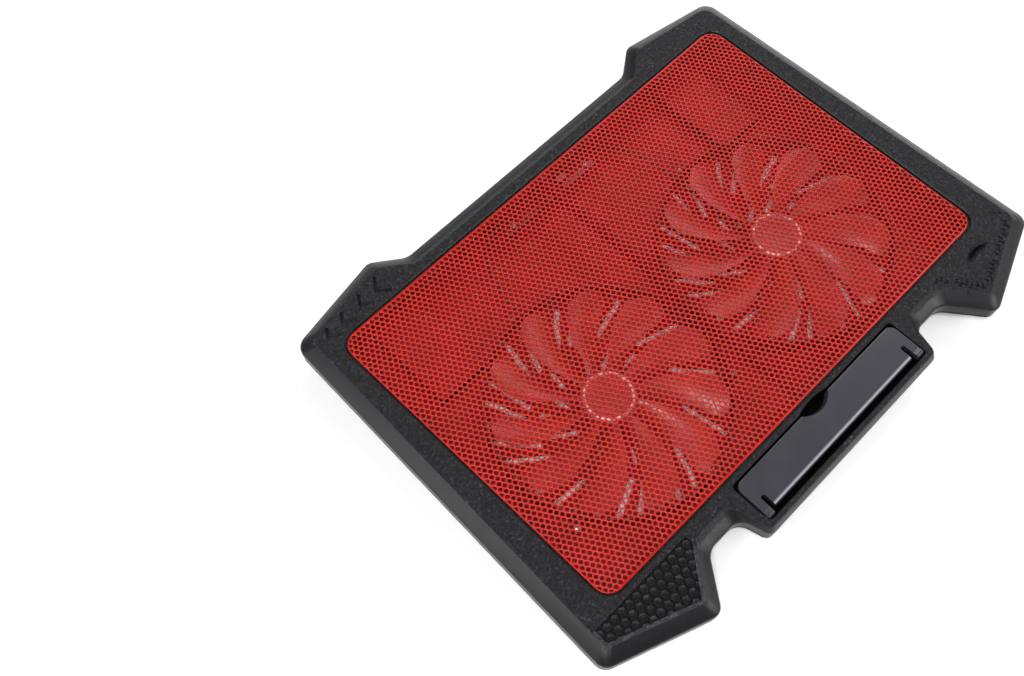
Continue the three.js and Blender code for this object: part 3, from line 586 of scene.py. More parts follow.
def inner_plastic():
    """Cover moulding: black, with a painted red glow on its upward faces below the deck that stands in for
    red light inside the pad.
    """
    n = Nodes("cover_plastic", (0.009, 0.009, 0.011), 0.55)
    n.bump(n.noise(1900, 3.0, 0.6), 0.3, 0.00012)
    # Painted light: upward faces below the deck get a dark red colour in place of red light falling on them.
    painted_red_glow = n.times(n.span(n.normal_z(), 0.1, 0.4), n.under_deck())
    n.set(Base_Color=n.blend(painted_red_glow, n.base, (0.34, 0.006, 0.008)), Specular_IOR_Level=0.3)
    n.rub(n.noise(200, 3.0), 0.48, 0.62)
    return n.material


def blade_plastic():
    n = Nodes("blade_plastic", (0.42, 0.035, 0.03), 0.36)
    n.set(Coat_Weight=0.15, Coat_Roughness=0.2)
    n.set(Subsurface_Weight=0.15, Subsurface_Scale=0.002, Subsurface_Radius=(1.0, 0.35, 0.3))
    n.bump(n.noise(500, 2.0, 0.5), 0.08, 0.0001)
    n.tint(n.patches(70, 3.0), 0.75, 1.2)
    n.rub(n.noise(300, 2.0), 0.28, 0.42)
    return n.material


def brushed(name, base, roughness, stretch=(1, 1, 40), scale=600):
    n = Nodes(name, base, roughness, 1.0)
    lines = n.noise(scale, 3.0, 0.6, n.new("Mapping", Vector=n.place, Scale=stretch).outputs["Vector"])
    n.bump(lines, 0.2, 0.00005)
    n.tint(n.patches(120, 2.0), 0.85, 1.1)
    n.rub(lines, roughness - 0.08, roughness + 0.1)
    return n.material


def wound_wire():
    n = Nodes("copper_wire", (0.42, 0.14, 0.05), 0.32, 0.85)
    wave = n.new("TexWave", Vector=n.place, Scale=900, Distortion=0.6)
    wave.bands_direction = "Z"
    n.bump(wave.outputs["Fac"], 0.8, 0.00015)
    n.tint(wave.outputs["Fac"], 0.55, 1.15)
    return n.material


def board_mask():
    n = Nodes("board_mask", (0.13, 0.005, 0.006), 0.4)
    n.set(Coat_Weight=0.2)
    tracks = n.span(n.voronoi(420, "F1", 0.3), 0.2, 0.3)
    n.tint(tracks, 0.7, 1.5)
    n.bump(tracks, 0.25, 0.00008)
    return n.material


FRAME_PLASTIC = leather_plastic()
DECK_PAINT = deck_paint()
COVER_PLASTIC = inner_plastic()
BLADE_PLASTIC = blade_plastic()
FLAP_PLASTIC = flap_plastic()
FAN_PLASTIC = moulded("fan_plastic", (0.2, 0.005, 0.006), 0.45).material
SWITCH_PLASTIC = moulded("switch_plastic", (0.011, 0.011, 0.013), 0.5).material
FOOT_PLASTIC = moulded("foot_plastic", (0.011, 0.011, 0.013), 0.5).material
RUBBER = moulded("rubber", (0.012, 0.012, 0.012), 0.82, 900, 0.5, 0.0002).material
LEAD_SKIN = moulded("lead_skin", (0.015, 0.015, 0.015), 0.45).material
BRIGHT_RING = moulded("bright_ring", (0.95, 0.5, 0.48), 0.3, 800, 0.2, 0.00008, 0.05, 0.2).material
MAGNET = moulded("magnet", (0.03, 0.028, 0.027), 0.7, 1200, 0.4).material
BRONZE = moulded("bronze", (0.45, 0.26, 0.1), 0.4, 2500, 0.5, 0.00008, 0.05, 0.9).material
STEEL = brushed("steel", (0.6, 0.6, 0.62), 0.3)
CORE_STEEL = brushed("core_steel", (0.28, 0.28, 0.3), 0.4, (1, 1, 60), 900)
COPPER_WIRE = wound_wire()
BOARD_MASK = board_mask()
CONTACT_GOLD = brushed("contact_gold", (0.85, 0.58, 0.2), 0.25)

# ------------ top frame


def clip(loop, normal, offset):
    """The part of a flat loop where normal . p <= offset."""
    kept = []
    for point, after in around(loop):
        p, q = Vector(point[:2]), Vector(after[:2])
        a, b = normal.dot(p) - offset, normal.dot(q) - offset
        if a <= 0:
            kept.append(p)
        if (a < 0 < b) or (b < 0 < a):
            kept.append(p.lerp(q, a / (a - b)))
    return kept


def area(loop):
    return abs(sum(p.cross(q) for p, q in around(loop))) / 2


def scale_pocket():
    """Tool for the scaled corner: a shallow pocket in the left front lobe, less its tilted scales."""
    loop = clip(outline("deck", 1.8), Vector((1, 0)), SCALED_CORNER[0])
    loop = clip(loop, Vector((0, 1)), SCALED_CORNER[1])
    pocket = raw_object("pocket", loft([at(loop, TOP - 1.15), at(loop, TOP + 0.6)]))
    pitch, row, first_x, first_y = 5.6, 4.85, -188, -140.6
    foot_radius, top_radius, foot_drop = 2.95, 2.6, 1.5
    scales = []
    for j in range(9):
        for i in range(17):
            x, y = first_x + pitch * (i + 0.5 * (j % 2)), first_y + row * j
            foot, face = [], []
            for k in range(6):
                angle = math.radians(60 * k + 30)
                c, s = math.cos(angle), math.sin(angle)
                drop = 0.5 - 0.44 * (0.55 * c + 0.83 * s)
                foot.append(Vector((x + foot_radius * c, y + foot_radius * s, TOP - foot_drop)))
                face.append(Vector((x + top_radius * c, y + top_radius * s, TOP - drop)))
            scales.append(loft([foot, face]))
    boolean(pocket, *scales)
    return pocket


def thumb_dimple():
    """Tool for the half-moon thumb dimple in the right front lobe: deepest along its rear arc."""
    centre, radius, reach, length = Vector(THUMB_DIMPLE), 17.5, 11.9, 4.2
    columns, lid, edge_rise = 24, 1.2, 0.3
    chord = math.sqrt(radius ** 2 - reach ** 2)
    verts = []
    profile = ((0.0, -0.25), (0.03, 0.25), (0.14, 1.15), (0.27, 1.7), (0.4, 1.45), (0.7, 0.55), (1.0, -0.25))
    for share, drop in profile:
        for i in range(columns + 1):
            x = -reach + 2 * reach * i / columns
            arc = math.sqrt(radius ** 2 - x ** 2)
            y = arc + (chord - arc - length) * share
            edge = 1 - (x / reach) ** 4
            verts.append(Vector((centre.x + x, centre.y + y, TOP - (drop * edge - edge_rise * (1 - edge)))))
    rows, count = len(profile), columns + 1
    faces = []
    for k in range(rows - 1):
        for i in range(columns):
            a = k * count + i
            faces += [(a, a + count, a + count + 1), (a, a + count + 1, a + 1)]
    base = len(verts)
    verts += [Vector((v.x, v.y, TOP + lid)) for v in verts]
    faces += [tuple(base + i for i in reversed(face)) for face in faces]
    rim = [k * count for k in range(rows)] + [(rows - 1) * count + i for i in range(1, count)]
    rim += [k * count + columns for k in reversed(range(rows - 1))] + list(reversed(range(1, columns)))
    faces += [(a, b, base + b, base + a) for a, b in around(rim)]
    return verts, faces


def stepped_band():
    """Tools for the right front lobe's band: short stepped grooves beside the lobe's edge."""
    path = [Vector(p) for p in (
        (174.5, -98), (177.3, -109.5), (172, -113.6), (150, -121.6), (131.5, -128.2), (126, -124.5),
        (118.5, -112), (112, -104.6))]
    first, pitch, end_gap = 2.0, 3.0, 1.6
    tools = []
    for p, q in zip(path, path[1:]):
        along = (q - p).normalized()
        side = Vector((-along.y, along.x))
        travelled = first
        while travelled < (q - p).length - end_gap:
            step = len(tools)
            middle = p + along * travelled
            low, high = (-2.0, 0.6) if step % 2 else (-0.6, 2.0)
            reach = 1.5 if step % 3 else 2.2
            start, end = middle + side * low, middle + side * high
            tools.append(strip([start, start.lerp(end, 0.5), end, end + along * reach], 1.0, TOP, 0.6))
            travelled += pitch
    return tools


def chevrons():
    """Tools for the row of four arrowhead grooves in the left rear lobe."""
    marks = (
        ((-120.5, 130.6), (-126.0, 122.8), (-118.8, 117.2)),
        ((-135.0, 128.8), (-139.0, 122.6), (-132.0, 117.6)),
        ((-149.6, 127.2), (-153.2, 121.9), (-146.4, 117.2)),
        ((-162.6, 125.2), (-165.4, 120.8), (-159.2, 116.0)),
    )
    return [strip([Vector(p) for p in mark], 2.2, TOP, 0.9) for mark in marks]


def flared(loop_at, z0, z1, flare):
    """Cutting tool with a small chamfer where it leaves the top face."""
    return loft([at(loop_at(0), z0), at(loop_at(0), z1 - flare), at(loop_at(flare), z1),
                 at(loop_at(flare * 2), z1 + flare)])


def deck_seat(grow):
    return deck_loop(1.4 + grow)


def tub_loop(grow):
    return rounded_rectangle(-71 - grow, 71 + grow, -130.2 - grow, -102.8 + grow, 3 + grow)


def eye_loop(grow):
    """Finger opening behind the stop: straight at the rear, a flat arc in front."""
    radius, half, steps = 43.0 + grow, 11.9, 24
    arc = []
    for i in range(steps + 1):
        x = -half + 2 * half * i / steps
        arc.append((x, -144.1 + math.sqrt(radius ** 2 - x ** 2)))
    return [(-half, -106.0), (half, -106.0)] + arc[::-1]


def top_frame():
    rim, deck = outline_at("rim", 0, BEVEL_FOOT), outline_at("deck", 0, TOP)
    wall = outline_at("rim", 0.5, PARTING + 0.35)
    rings = [outline_at("rim", 0.8, PARTING), wall]
    rings += bend(mix(wall, rim, 0.84), rim, mix(rim, deck, 0.15), 5)
    for share, swell in ((0.38, 0.22), (0.64, 0.24)):
        rings.append([v + Vector((0, 0, swell)) for v in mix(rim, deck, share)])
    rings += bend(mix(rim, deck, 0.93), deck, outline_at("deck", 0.5, TOP), 4)
    body = raw_object("top_frame_shell", loft(rings))

    hollow = raw_object("hollow", loft([
        outline_at("rim", 2.5, PARTING - 1), outline_at("rim", 2.5, BEVEL_FOOT - 1),
        outline_at("deck", 2.5, TOP - 2)]))
    boolean(hollow, box(-76, 76, -140, -99.4, 20.5, 30))
    boolean(hollow, prism(deck_loop(2.6), 24.2, 27))
    boolean(hollow, box(-2, 2, -101, 115, 21, 30))
    boolean(body, hollow)

    window = raw_object("window", prism(rounded_rectangle(-159.9, 159.9, -94.4, 108.8, 7.5), 23, 30))
    boolean(window, box(-2, 2, -110, 120, 20, 26.5))
    boolean(body, window)
    boolean(body, flared(deck_seat, 26.5, TOP, 0.45))
    boolean(body, flared(tub_loop, 22.5, TOP, 0.4))
    boolean(body, flared(eye_loop, 22.5, TOP, 0.4))
    boolean(body, along_x(-73.2, 73.2, *STOP_PIN, 1.6, 20))
    openings = [box(x - 6.85, x + 6.85, 120, 135, 13, 21) for x in PORTS.values()]
    boolean(body, *openings, box(16.6, 23.2, 120, 135, 16.5, 18.9))
    boolean(body, scale_pocket())
    boolean(body, thumb_dimple())
    boolean(body, *stepped_band(), overlapping=True)
    boolean(body, *chevrons())
    finish(body, "top_frame_shell", "housing", FRAME_PLASTIC, ["top_frame"], 40, True)


# ------------ perforated deck

# The metal between holes, as (neighbouring hole, its corner): quads between two, triangles between three.
HERE, EAST, NORTH_EAST, NORTH_WEST = (0, 0), (2, 0), (1, 1), (-1, 1)
WEBS = (
    ((HERE, 4), (EAST, 2), (EAST, 1), (HERE, 5)),
    ((HERE, 5), (NORTH_EAST, 3), (NORTH_EAST, 2), (HERE, 0)),
    ((HERE, 0), (NORTH_WEST, 4), (NORTH_WEST, 3), (HERE, 1)),
    ((HERE, 5), (EAST, 1), (NORTH_EAST, 3)),
    ((HERE, 0), (NORTH_EAST, 2), (NORTH_WEST, 4)),
)


def sides(face):
    return [frozenset(pair) for pair in around(face)]


def rim_side(triangles, pairs, rim):
    """The triangles that can be reached from the rim without crossing one of the given edges."""
    fixed = {frozenset(pair) for pair in pairs}
    owners = {}
    for t, face in enumerate(triangles):
        for edge in sides(face):
            owners.setdefault(edge, []).append(t)
    reached = {t for edge in sides(rim) for t in owners[edge]}
    queue = list(reached)
    while queue:
        for edge in sides(triangles[queue.pop()]):
            fresh = [] if edge in fixed else [t for t in owners[edge] if t not in reached]
            reached.update(fresh)
            queue += fresh
    return [triangles[t] for t in sorted(reached)]


def deck_holes():
    """Whole holes' points, {(column, row): first point}, and the part holes that the border cuts."""
    tip = (HOLE_PITCH ** 2 / 4 + HOLE_ROW ** 2) / (2 * HOLE_ROW)
    shoulder, half = HOLE_ROW - tip, HOLE_PITCH / 2
    cell = [(0, tip), (-half, shoulder), (-half, -shoulder), (0, -tip), (half, -shoulder), (half, shoulder)]
    half_w, half_h = DECK_HALF[0] - DECK_BORDER, DECK_HALF[1] - DECK_BORDER
    corner = DECK_CORNER - DECK_BORDER
    verts, cells, cut_holes = [], {}, []
    for j in range(-40, 41):
        for i in range(-50, 51):
            x, y = HOLE_PITCH * (i + 0.5 * (j % 2)), HOLE_ROW * j
            hole = [Vector((x + HOLE_SHARE * cx, y + DECK_MIDDLE + HOLE_SHARE * cy)) for cx, cy in cell]
            edge_x, edge_y = abs(x) + HOLE_SHARE * HOLE_PITCH / 2, abs(y) + HOLE_SHARE * tip
            reach_x, reach_y = max(edge_x - (half_w - corner), 0), max(edge_y - (half_h - corner), 0)
            inside = edge_x < half_w and edge_y < half_h
            if inside and (reach_x * reach_y == 0 or math.hypot(reach_x, reach_y) < corner):
                cells[2 * i + (j % 2), j] = len(verts)
                verts += at(hole, DECK_TOP)
            elif abs(x) < DECK_HALF[0] and abs(y) < DECK_HALF[1]:
                for p, q in around(deck_loop(-DECK_BORDER)):
                    outward = Vector((q[1] - p[1], p[0] - q[0])).normalized()
                    hole = clip(hole, outward, outward.dot(Vector(p)))
                if len(hole) > 2 and area(hole) > SMALLEST_HOLE_AREA:
                    cut_holes.append(hole)
    return verts, cells, cut_holes


def deck_sheet():
    """Closed sheet with six-sided holes in staggered rows, and a folded-down edge."""
    verts, cells, cut_holes = deck_holes()
    sheet = []
    for i, j in cells:
        for web in WEBS:
            keys = [(i + columns, j + rows) for (columns, rows), _ in web]
            if all(key in cells for key in keys):
                sheet.append(tuple(cells[key] + k for key, (_, k) in zip(keys, web)))

    hole_rings = [[base + k for k in range(6)] for base in cells.values()]
    for part in cut_holes:
        hole_rings.append(list(range(len(verts), len(verts) + len(part))))
        verts += at(part, DECK_TOP)
    web_edges = dict.fromkeys(edge for face in sheet for edge in around(face))
    hole_edges = set()
    for ring in hole_rings:
        hole_edges.update((b, a) for a, b in around(ring))
    rim_loop = deck_loop(-0.35)
    rim = list(range(len(verts), len(verts) + len(rim_loop)))
    verts += at(rim_loop, DECK_TOP)
    pairs = [(a, b) for a, b in web_edges if (b, a) not in web_edges and (a, b) not in hole_edges]
    pairs += [(b, a) for a, b in hole_edges if (a, b) not in web_edges]
    pairs += around(rim)
    used = sorted({i for pair in pairs for i in pair})
    short = {index: k for k, index in enumerate(used)}
    edges = [(short[a], short[b]) for a, b in pairs]
    filled = delaunay_2d_cdt([verts[i].xy for i in used], edges, [], 1, FILL_NEARNESS)
    sheet += rim_side([tuple(used[filled[3][k][0]] for k in face) for face in filled[2]], pairs, rim)

    count = len(verts)
    verts += [Vector((v.x, v.y, DECK_BOTTOM)) for v in verts]
    faces = sheet + [tuple(count + i for i in reversed(face)) for face in sheet]
    for ring in hole_rings:
        faces += [(b, a, count + a, count + b) for a, b in around(ring)]
    rings = [rim]
    for grow, drop in ((-0.22, 0.05), (-0.06, 0.18), (0.0, 0.35)):
        rings.append(list(range(len(verts), len(verts) + len(rim))))
        verts += at(deck_loop(grow), DECK_TOP - drop)
    rings.append([count + i for i in rim])
    for upper, lower in zip(rings, rings[1:]):
        faces += [(a, c, d, b) for (a, b), (c, d) in zip(around(upper), around(lower))]
    finish((verts, faces), "deck_sheet", "housing", DECK_PAINT, ["mesh_panel"], 100)


# ------------ laptop stop


def stop_flap():
    front = -126.7
    section = [(front + 2.9, 27.8), (-104.7, 27.8), (-104.2, 27.6), (-104.0, 27.1), (-104.0, 24.8),
               (-104.5, 24.2), (front + 1.4, 24.2), (front + 0.4, 24.6), (front, 25.4), (front + 0.1, 26.3),
               (front + 0.5, 26.85), (front + 1.2, 27.25), (front + 2.0, 27.6)]
    plate = loft([[Vector((x, y, z)) for y, z in section] for x in (-STOP_HALF, STOP_HALF)])
    body = raw_object("stop_flap_shell", plate)
    plan = rounded_rectangle(-STOP_HALF, STOP_HALF, -140, -104, 5.2)
    boolean(body, prism(plan, 20, 30), operation="INTERSECT")
    scoop_y, scoop_radius = -93.4, 15.4
    boolean(body, loft([at(circle(0, scoop_y, scoop_radius + grow, 64), z)
                        for grow, z in ((-1.2, 23), (-0.6, 25), (0.9, 28.5))]))
    slots = [prism(rounded_rectangle(x - 1.6, x + 1.6, -140, -117.6, 1.5), 20, 30) for x in (-63.0, 63.0)]
    boolean(body, *slots)
    bevel(body, 0.35, 45)
    for side in SIDES.values():
        for near, far, radius, facets, edge in ((64.6, STOP_HALF, 2.4, 32, 0.3), (65.6, 72.8, 1.3, 24, 0.2)):
            join(body, along_x(*sorted((side * near, side * far)), *STOP_PIN, radius, facets, edge))
    finish(body, "stop_flap_shell", "stop_flap", FLAP_PLASTIC, ["stop_flap"], 50, True)


# ------------ fans


def blade(start):
    """One swept petal: narrow at the hub, broad outside, with a rounded tip and a low leading edge."""
    stations, spread, thickness = 12, 7, 1.1
    root, tip, sweep = 16.4, 69.5, 14
    top, bottom = [], []
    for i in range(stations + 1):
        u = i / stations
        radius = root + (tip - root) * u
        span = math.radians(24 - 3 * u) * (1 - 0.5 * max(0.0, (u - 0.8) / 0.2) ** 3)
        centre = start - math.radians(sweep) * u * u
        low, high = 10.4 + 2 * u, 18.9 - 1.3 * u
        for k in range(spread + 1):
            v = k / spread
            angle = centre + span * (v - 0.5)
            camber = 1.2 * math.sin(math.pi * v)
            z = low + (high - low) * v + camber
            edge = min(1.0, 4 * min(v, 1 - v) + 0.35)
            place = Vector((radius * math.cos(angle), radius * math.sin(angle), z))
            bottom.append(place + Vector((0, 0, thickness * (0.5 - edge / 2))))
            top.append(place + Vector((0, 0, thickness * (0.5 + edge / 2))))
    across, base = spread + 1, len(bottom)
    faces = []
    for i in range(stations):
        for k in range(spread):
            a = i * across + k
            quad = (a, a + 1, a + across + 1, a + across)
            faces += [quad, (base + quad[0], base + quad[3], base + quad[2], base + quad[1])]
    border = list(range(across)) + [i * across + spread for i in range(1, stations + 1)]
    border += [stations * across + k for k in reversed(range(spread))]
    border += [i * across for i in reversed(range(1, stations))]
    faces += [(a, base + a, base + b, b) for a, b in around(border)]
    return bottom + top, faces


def fan(side_name, side):
    place = shift(side * FAN_X, FAN_Y)
    body = f"{side_name}_rotor"
    cap = turned([
        (15.5, 9.2), (17.0, 9.2), (17.0, 18.6), (16.7, 19.4), (15.9, 19.95), (15.55, 20.0), (15.55, 19.35),
        (13.05, 19.35), (13.05, 20.0), (10.5, 20.0), (9.0, 19.8), (0.001, 19.8), (0.001, 19.1), (1.3, 19.1),
        (1.3, 17.2), (2.4, 17.2), (2.4, 18.4), (15.5, 18.4)], 64, closed=True)
    petals = [blade(2 * math.pi * i / BLADES) for i in range(BLADES)]
    finish(moved(merge(cap, *petals), place), f"{side_name}_impeller_shell", body, BLADE_PLASTIC,
           [f"{side_name}_impeller"], 40)
    ring = [(13.4, 19.6), (15.2, 19.6), (15.2, 20.1), (14.9, 20.4), (13.7, 20.4), (13.4, 20.1)]
    finish(moved(turned(ring, 64, closed=True), place), f"{side_name}_hub_ring_shell", body, BRIGHT_RING,
           [f"{side_name}_hub_ring"], 60)

    shroud = turned([(71.5, 6.3), (73.3, 6.3), (73.3, 18.9), (72.9, 19.4), (72.4, 19.5), (71.9, 19.4),
                     (71.5, 18.9)], 96, closed=True)
    frame_body = raw_object("fan_frame", shroud)
    join(frame_body, turned([(16.6, 6.3), (17.0, 6.6), (17.0, 7.7), (16.7, 8.0), (5.0, 8.0), (5.0, 16.8),
                             (3.1, 16.8), (3.1, 8.0)], 64))
    section = ((-2.5, 6.35), (2.5, 6.35), (2.5, 7.45), (1.6, 7.95), (-1.6, 7.95), (-2.5, 7.45))
    spoke = loft([[Vector((r, y, z)) for y, z in section] for r in (10, 74.2)])
    ear = prism(circle(EAR_RADIUS, 0, 3.8, 32), 6.34, 7.96)
    hole = prism(circle(EAR_RADIUS, 0, 1.5, 24), 5, 10)
    for angle in EAR_ANGLES:
        join(frame_body, moved(spoke, turn_z(angle)))
        join(frame_body, moved(ear, turn_z(angle)))
    notch = -side * 6
    holes = [moved(hole, turn_z(angle)) for angle in EAR_ANGLES]
    boolean(frame_body, *holes, box(notch - 1.5, notch + 1.5, 60, 80, 5, 8.9))
    frame_body.data.transform(place)
    finish(frame_body, f"{side_name}_fan_frame_shell", "housing", FAN_PLASTIC,
           [f"{side_name}_fan_frame"], 35)


# ------------ bottom cover


def slot_ring(x, y, inner, outer, count, width, lean):
    """Tools for a ring of slanted round-ended slots."""
    half, round_end = (outer - inner) / 2, width / 2 - 0.05
    bar = prism(rounded_rectangle(-half, half, -width / 2, width / 2, round_end, 4), 0.5, 4.5)
    spins = [turn_z(360 * i / count) @ shift((inner + outer) / 2, 0) @ turn_z(lean) for i in range(count)]
    return [moved(bar, shift(x, y) @ spin) for spin in spins]


def bottom_cover():
    steps = 6
    flat = outline_at("rim", 12, COVER_BOTTOM, steps)
    shoulder = outline_at("rim", 0.5, PARTING - 1.7, steps)
    rings = [outline_at("rim", 12.8, COVER_BOTTOM, steps)]
    rings += bend(rings[0], flat, mix(flat, shoulder, 0.1), 3)[1:]
    rings += bend(mix(flat, shoulder, 0.93), shoulder, outline_at("rim", 0.5, PARTING - 0.9, steps), 3)
    rings += [outline_at("rim", inset, PARTING - drop, steps) for inset, drop in ((0.5, 0.5), (0.7, 0.3))]
    body = raw_object("cover", loft(rings))
    boolean(body, loft([outline_at("rim", inset, z, steps) for inset, z in (
        (14, COVER_BOTTOM + 2), (4.5, 12.3), (4.5, 16))]))
    lip = raw_object("lip", prism(outline("rim", 2.8, steps), 12.5, 15.6))
    boolean(lip, prism(outline("rim", 4.5, steps), 11, 17))
    boolean(lip, box(-34, 34, 118, 128.6, 13.76, 17))
    join(body, lip)

    feet = [side * FOOT_X for side in SIDES.values()]
    added = [prism(circle(x, y, 4.6, 24), 2, 5.6) for x, y in COVER_SCREWS]
    added += [prism(circle(x, y, 3.2, 20), 2, 6.0) for x, y in FAN_EARS]
    added += [prism(circle(x, y, 3, 20), 2, 12.7) for x, y in BOARD_SCREWS.values()]
    added += [box(x - 17.2, x + 17.2, 50, 110.5, 2, 10.3) for x in feet]
    join(body, *added)

    screw_hole = ((3.6, 0.9), (3.0, 1.8), (3.0, 4.0), (1.6, 4.0), (1.6, 6.2))
    cuts = [loft([at(circle(x, y, r, 24), z) for r, z in screw_hole]) for x, y in COVER_SCREWS]
    cuts += [prism(circle(x, y, 1.3, 16), 2.8, 7) for x, y in FAN_EARS]
    cuts += [prism(circle(x, y, 1.3, 16), 6, 14) for x, y in BOARD_SCREWS.values()]
    cuts += [prism(rounded_rectangle(x - 14.2, x + 14.2, 52, 108.5, 1.2, 4), 0.5, 8.3) for x in feet]
    cuts += [prism(rounded_rectangle(x - 11.3, x + 11.3, y - 5.3, y + 5.3, 2.3, 4), 0.5, 2.5)
             for x, y in PADS.values()]
    for side in SIDES.values():
        cuts += slot_ring(side * FAN_X, FAN_Y, 42, 72.6, 34, 3.6, -28)
        cuts += slot_ring(side * FAN_X, FAN_Y, 21, 40, 17, 3.4, -24)
    boolean(body, *cuts)
    boolean(body, *[along_x(x - 16, x + 16, *FOOT_PIN, 1.8, 20) for x in feet])
    finish(body, "bottom_cover_shell", "housing", COVER_PLASTIC, ["bottom_cover"], 30)


# ------------ feet, pads, screws, sockets, switch


def rear_foot(side_name, side):
    x, body = side * FOOT_X, f"{side_name}_foot"
    leg = raw_object("leg", soft_slab(x - 13.5, x + 13.5, 63, 103.6, 2.0, 6.6, 1.5, 0.6, 5))
    join(leg, along_x(x - 13.5, x + 13.5, *FOOT_PIN, 2.6, 32, 0.3))
    join(leg, along_x(x - 15.7, x + 15.7, *FOOT_PIN, 1.5, 24, 0.2))
    boolean(leg, soft_slab(x - 9.5, x + 9.5, 69, 95.6, 0, 4.6, 1.6, 0.4, 4))
    join(leg, *[box(x + dx - 0.6, x + dx + 0.6, 68.5, 96, 2.6, 5.0) for dx in (-4.6, 0, 4.6)])
    boolean(leg, *[along_x(x - 8, x + 8, y, 2.0, 0.45, 12) for y in (64.2, 65.6, 67.0)])
    finish(leg, f"{side_name}_foot_leg", body, FOOT_PLASTIC, [f"{side_name}_rear_foot"], 35)
    tip = soft_slab(x - 11.5, x + 11.5, 59.4, 62.7, 2, 6.6, 1.2, 0.5, 4)
    finish(tip, f"{side_name}_foot_tip_rubber", body, RUBBER, [f"{side_name}_foot_tip"], 45)


def rubber_pads():
    for name, (x, y) in PADS.items():
        part = soft_slab(x - 11, x + 11, y - 5, y + 5, 0, 2.2, 2, 0.35, 6)
        finish(part, f"{name}_rubber", "housing", RUBBER, [name], 50)


def screw(name, x, y, seat, up, head_radius, head, shank_radius, shank):
    """Pan-head screw with a cross recess: its head's seat is at height seat and up is the shank's way."""
    profile = [(0.001, -head), (head_radius * 0.6, -head * 0.97), (head_radius * 0.86, -head * 0.72),
               (head_radius, -head * 0.3), (head_radius, 0), (shank_radius, 0)]
    turns, root_radius = 9, shank_radius * 0.8
    for i in range(turns):
        z = 0.6 + (shank - 2.0) * i / turns
        profile += [(root_radius, z), (shank_radius, z + 0.25)]
    profile += [(root_radius, shank - 1.2), (0.001, shank)]
    made = raw_object(name, turned(profile, 24))
    arm, width = head_radius * 0.56, head_radius * 0.13
    cross = [loft([at(rounded_rectangle(-a * s, a * s, -b * s, b * s, width * rounding, 2), -head * height)
                   for s, rounding, height in ((1, 0.6, 1.2), (0.6, 0.3, 0.25))])
             for a, b in ((arm, width), (width, arm))]
    boolean(made, *cross, overlapping=True)
    flip = Matrix.Identity(4) if up > 0 else Matrix.Rotation(math.pi, 4, "X")
    made.data.transform(shift(x, y, seat) @ flip)
    finish(made, f"{name}_steel", "housing", STEEL, [name], 35)


def screws():
    for i, (x, y) in enumerate(COVER_SCREWS):
        screw(f"cover_screw_{i + 1}", x, y, 3.7, 1, 2.5, 1.7, 1.2, 11)
    for i, (x, y) in enumerate(FAN_EARS):
        name = f"{'left' if i < 3 else 'right'}_fan_screw_{i % 3 + 1}"
        screw(name, x, y, 8.3, -1, 2.5, 1.5, 0.9, 4.6)
    for name, (x, y) in BOARD_SCREWS.items():
        screw(name, x, y, 14.9, -1, 2.4, 1.4, 0.9, 6)


def usb_port(name, x):
    """Steel socket with its contact tongue and four contacts."""
    y0, y1, z0, z1 = 115.2, 129.2, 14.9, 20.7

    def tube(grow, start, end):
        section = rounded_rectangle(x - 6.55 - grow, x + 6.55 + grow, z0 - grow, z1 + grow, 0.7, 4)
        return loft([[Vector((px, y, pz)) for px, pz in reversed(section)] for y in (start, end)])

    body = raw_object(name, tube(0, y0, y1))
    boolean(body, tube(-0.4, y0 + 2.5, y1 + 1))
    dimples = [rounded_rectangle(x + dx - 1, x + dx + 1, 120.5, 124.5, 0.6, 3) for dx in (-3, 3)]
    boolean(body, *[prism(dimple, z1 - 0.2, z1 + 1) for dimple in dimples])
    finish(body, f"{name}_shell", "housing", STEEL, [name], 35)
    tongue = raw_object("tongue", soft_slab(x - 5.2, x + 5.2, 117.9, 128.2, z1 - 2.6, z1 - 0.9, 0.4, 0.2, 3))
    finish(tongue, f"{name}_tongue", "housing", SWITCH_PLASTIC, (), 40)
    for k, dx in enumerate((-3.5, -1.2, 1.2, 3.5)):
        contact = soft_slab(x + dx - 0.5, x + dx + 0.5, 118.5, 127.6, z1 - 2.75, z1 - 2.5, 0.2, 0.08, 2)
        finish(contact, f"{name}_contact_{k + 1}", "housing", CONTACT_GOLD, (), 40)


def switch():
    body = raw_object("switch_body", soft_slab(12, 28, 118, 126.4, 14.9, 20.6, 0.8, 0.3, 3))
    boolean(body, box(15.5, 24.5, 122, 128, 15.5, 20))
    finish(body, "switch_housing", "housing", SWITCH_PLASTIC, ["switch_body"], 40)
    slider = raw_object("lever", soft_slab(15.9, 20.9, 122.4, 126, 15.8, 19.7, 0.4, 0.2, 3))
    join(slider, soft_slab(17, 19.8, 125.5, 131, 16.9, 18.5, 0.4, 0.25, 3))
    boolean(slider, *[box(17 + dx, 17.3 + dx, 129.6, 132, 16, 20) for dx in (0.5, 1.2, 1.9)])
    finish(slider, "switch_slider", "switch_lever", FLAP_PLASTIC, ["switch_lever"], 40)


# ------------ nodes that keep their CAD shape

KEPT_LOOKS = {
    "magnet_ring": MAGNET, "shaft": STEEL, "bearing": BRONZE, "stator_core": CORE_STEEL,
    "windings": COPPER_WIRE, "motor_board": BOARD_MASK, "fan_lead": LEAD_SKIN,
}


def dress_kept_nodes():
    looks = {f"{name}_{part}": look for name in SIDES for part, look in KEPT_LOOKS.items()}
    looks["control_board"] = BOARD_MASK
    for node, look in looks.items():
        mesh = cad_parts[node].data
        mesh.materials.clear()
        mesh.materials.append(look)


# ------------ stage: floor, light and camera


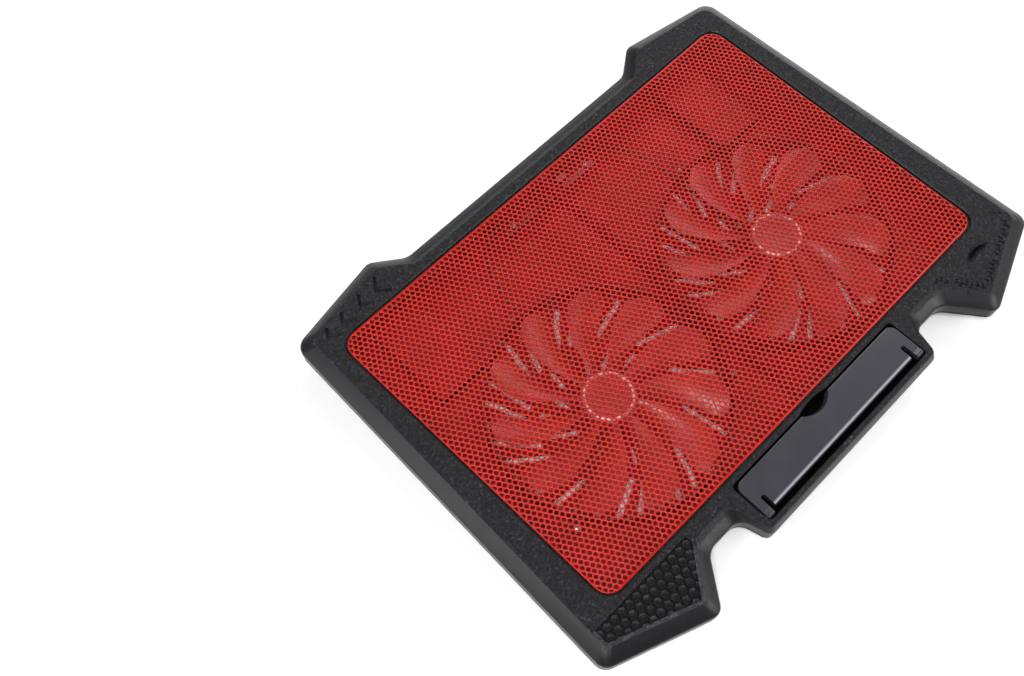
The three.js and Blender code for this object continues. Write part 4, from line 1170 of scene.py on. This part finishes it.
def area_light(name, place, target, size, power):
    data = bpy.data.lights.new(name, "AREA")
    data.shape = "RECTANGLE"
    data.size, data.size_y = size
    data.energy = power
    made = add_object(name, data)
    made.location = place
    made.rotation_euler = (Vector(target) - Vector(place)).to_track_quat("-Z", "Y").to_euler()


def world_glow():
    """White background, brightest at the horizon."""
    world = bpy.data.worlds.new("studio")
    bpy.context.scene.world = world
    world.use_nodes = True
    tree = world.node_tree
    split = tree.nodes.new("ShaderNodeSeparateXYZ")
    tree.links.new(tree.nodes.new("ShaderNodeTexCoord").outputs["Generated"], split.inputs[0])
    fall = tree.nodes.new("ShaderNodeMapRange")
    for key, value in (("From Min", 0.0), ("From Max", GLOW_FALL), ("To Min", HORIZON_GLOW),
                       ("To Max", OVERHEAD_GLOW)):
        fall.inputs[key].default_value = value
    tree.links.new(split.outputs["Z"], fall.inputs["Value"])
    tree.links.new(fall.outputs["Result"], tree.nodes["Background"].inputs["Strength"])
    tree.nodes["Background"].inputs["Color"].default_value = (1, 1, 1, 1)


def stage():
    n = Nodes("floor_paint", (0.88, 0.88, 0.88), 0.75)
    n.bump(n.noise(300, 2.0), 0.03, 0.0002)
    floor = add_object("floor", bpy.data.meshes.new("floor"))
    floor.data.from_pydata(at(circle(0, 0, FLOOR_RADIUS, FLOOR_SIDES), 0), [], [tuple(range(FLOOR_SIDES))])
    floor.data.materials.append(n.material)
    floor.location.z = -FLOOR_DROP

    world_glow()
    for light in LIGHTS:
        area_light(*light)

    camera = add_object("camera", bpy.data.cameras.new("camera"))
    camera.data.lens = CAMERA_LENS
    camera.data.sensor_width = CAMERA_SENSOR
    camera.data.clip_start = CAMERA_CLIP
    camera.location = CAMERA_PLACE
    camera.rotation_euler = CAMERA_TURN
    bpy.context.scene.camera = camera
    bpy.context.scene.view_settings.view_transform = "Standard"


# ------------ build

stage()
top_frame()
deck_sheet()
stop_flap()
for side_name, side in SIDES.items():
    fan(side_name, side)
    rear_foot(side_name, side)
bottom_cover()
rubber_pads()
screws()
for name, x in PORTS.items():
    usb_port(name, x)
switch()
dress_kept_nodes()
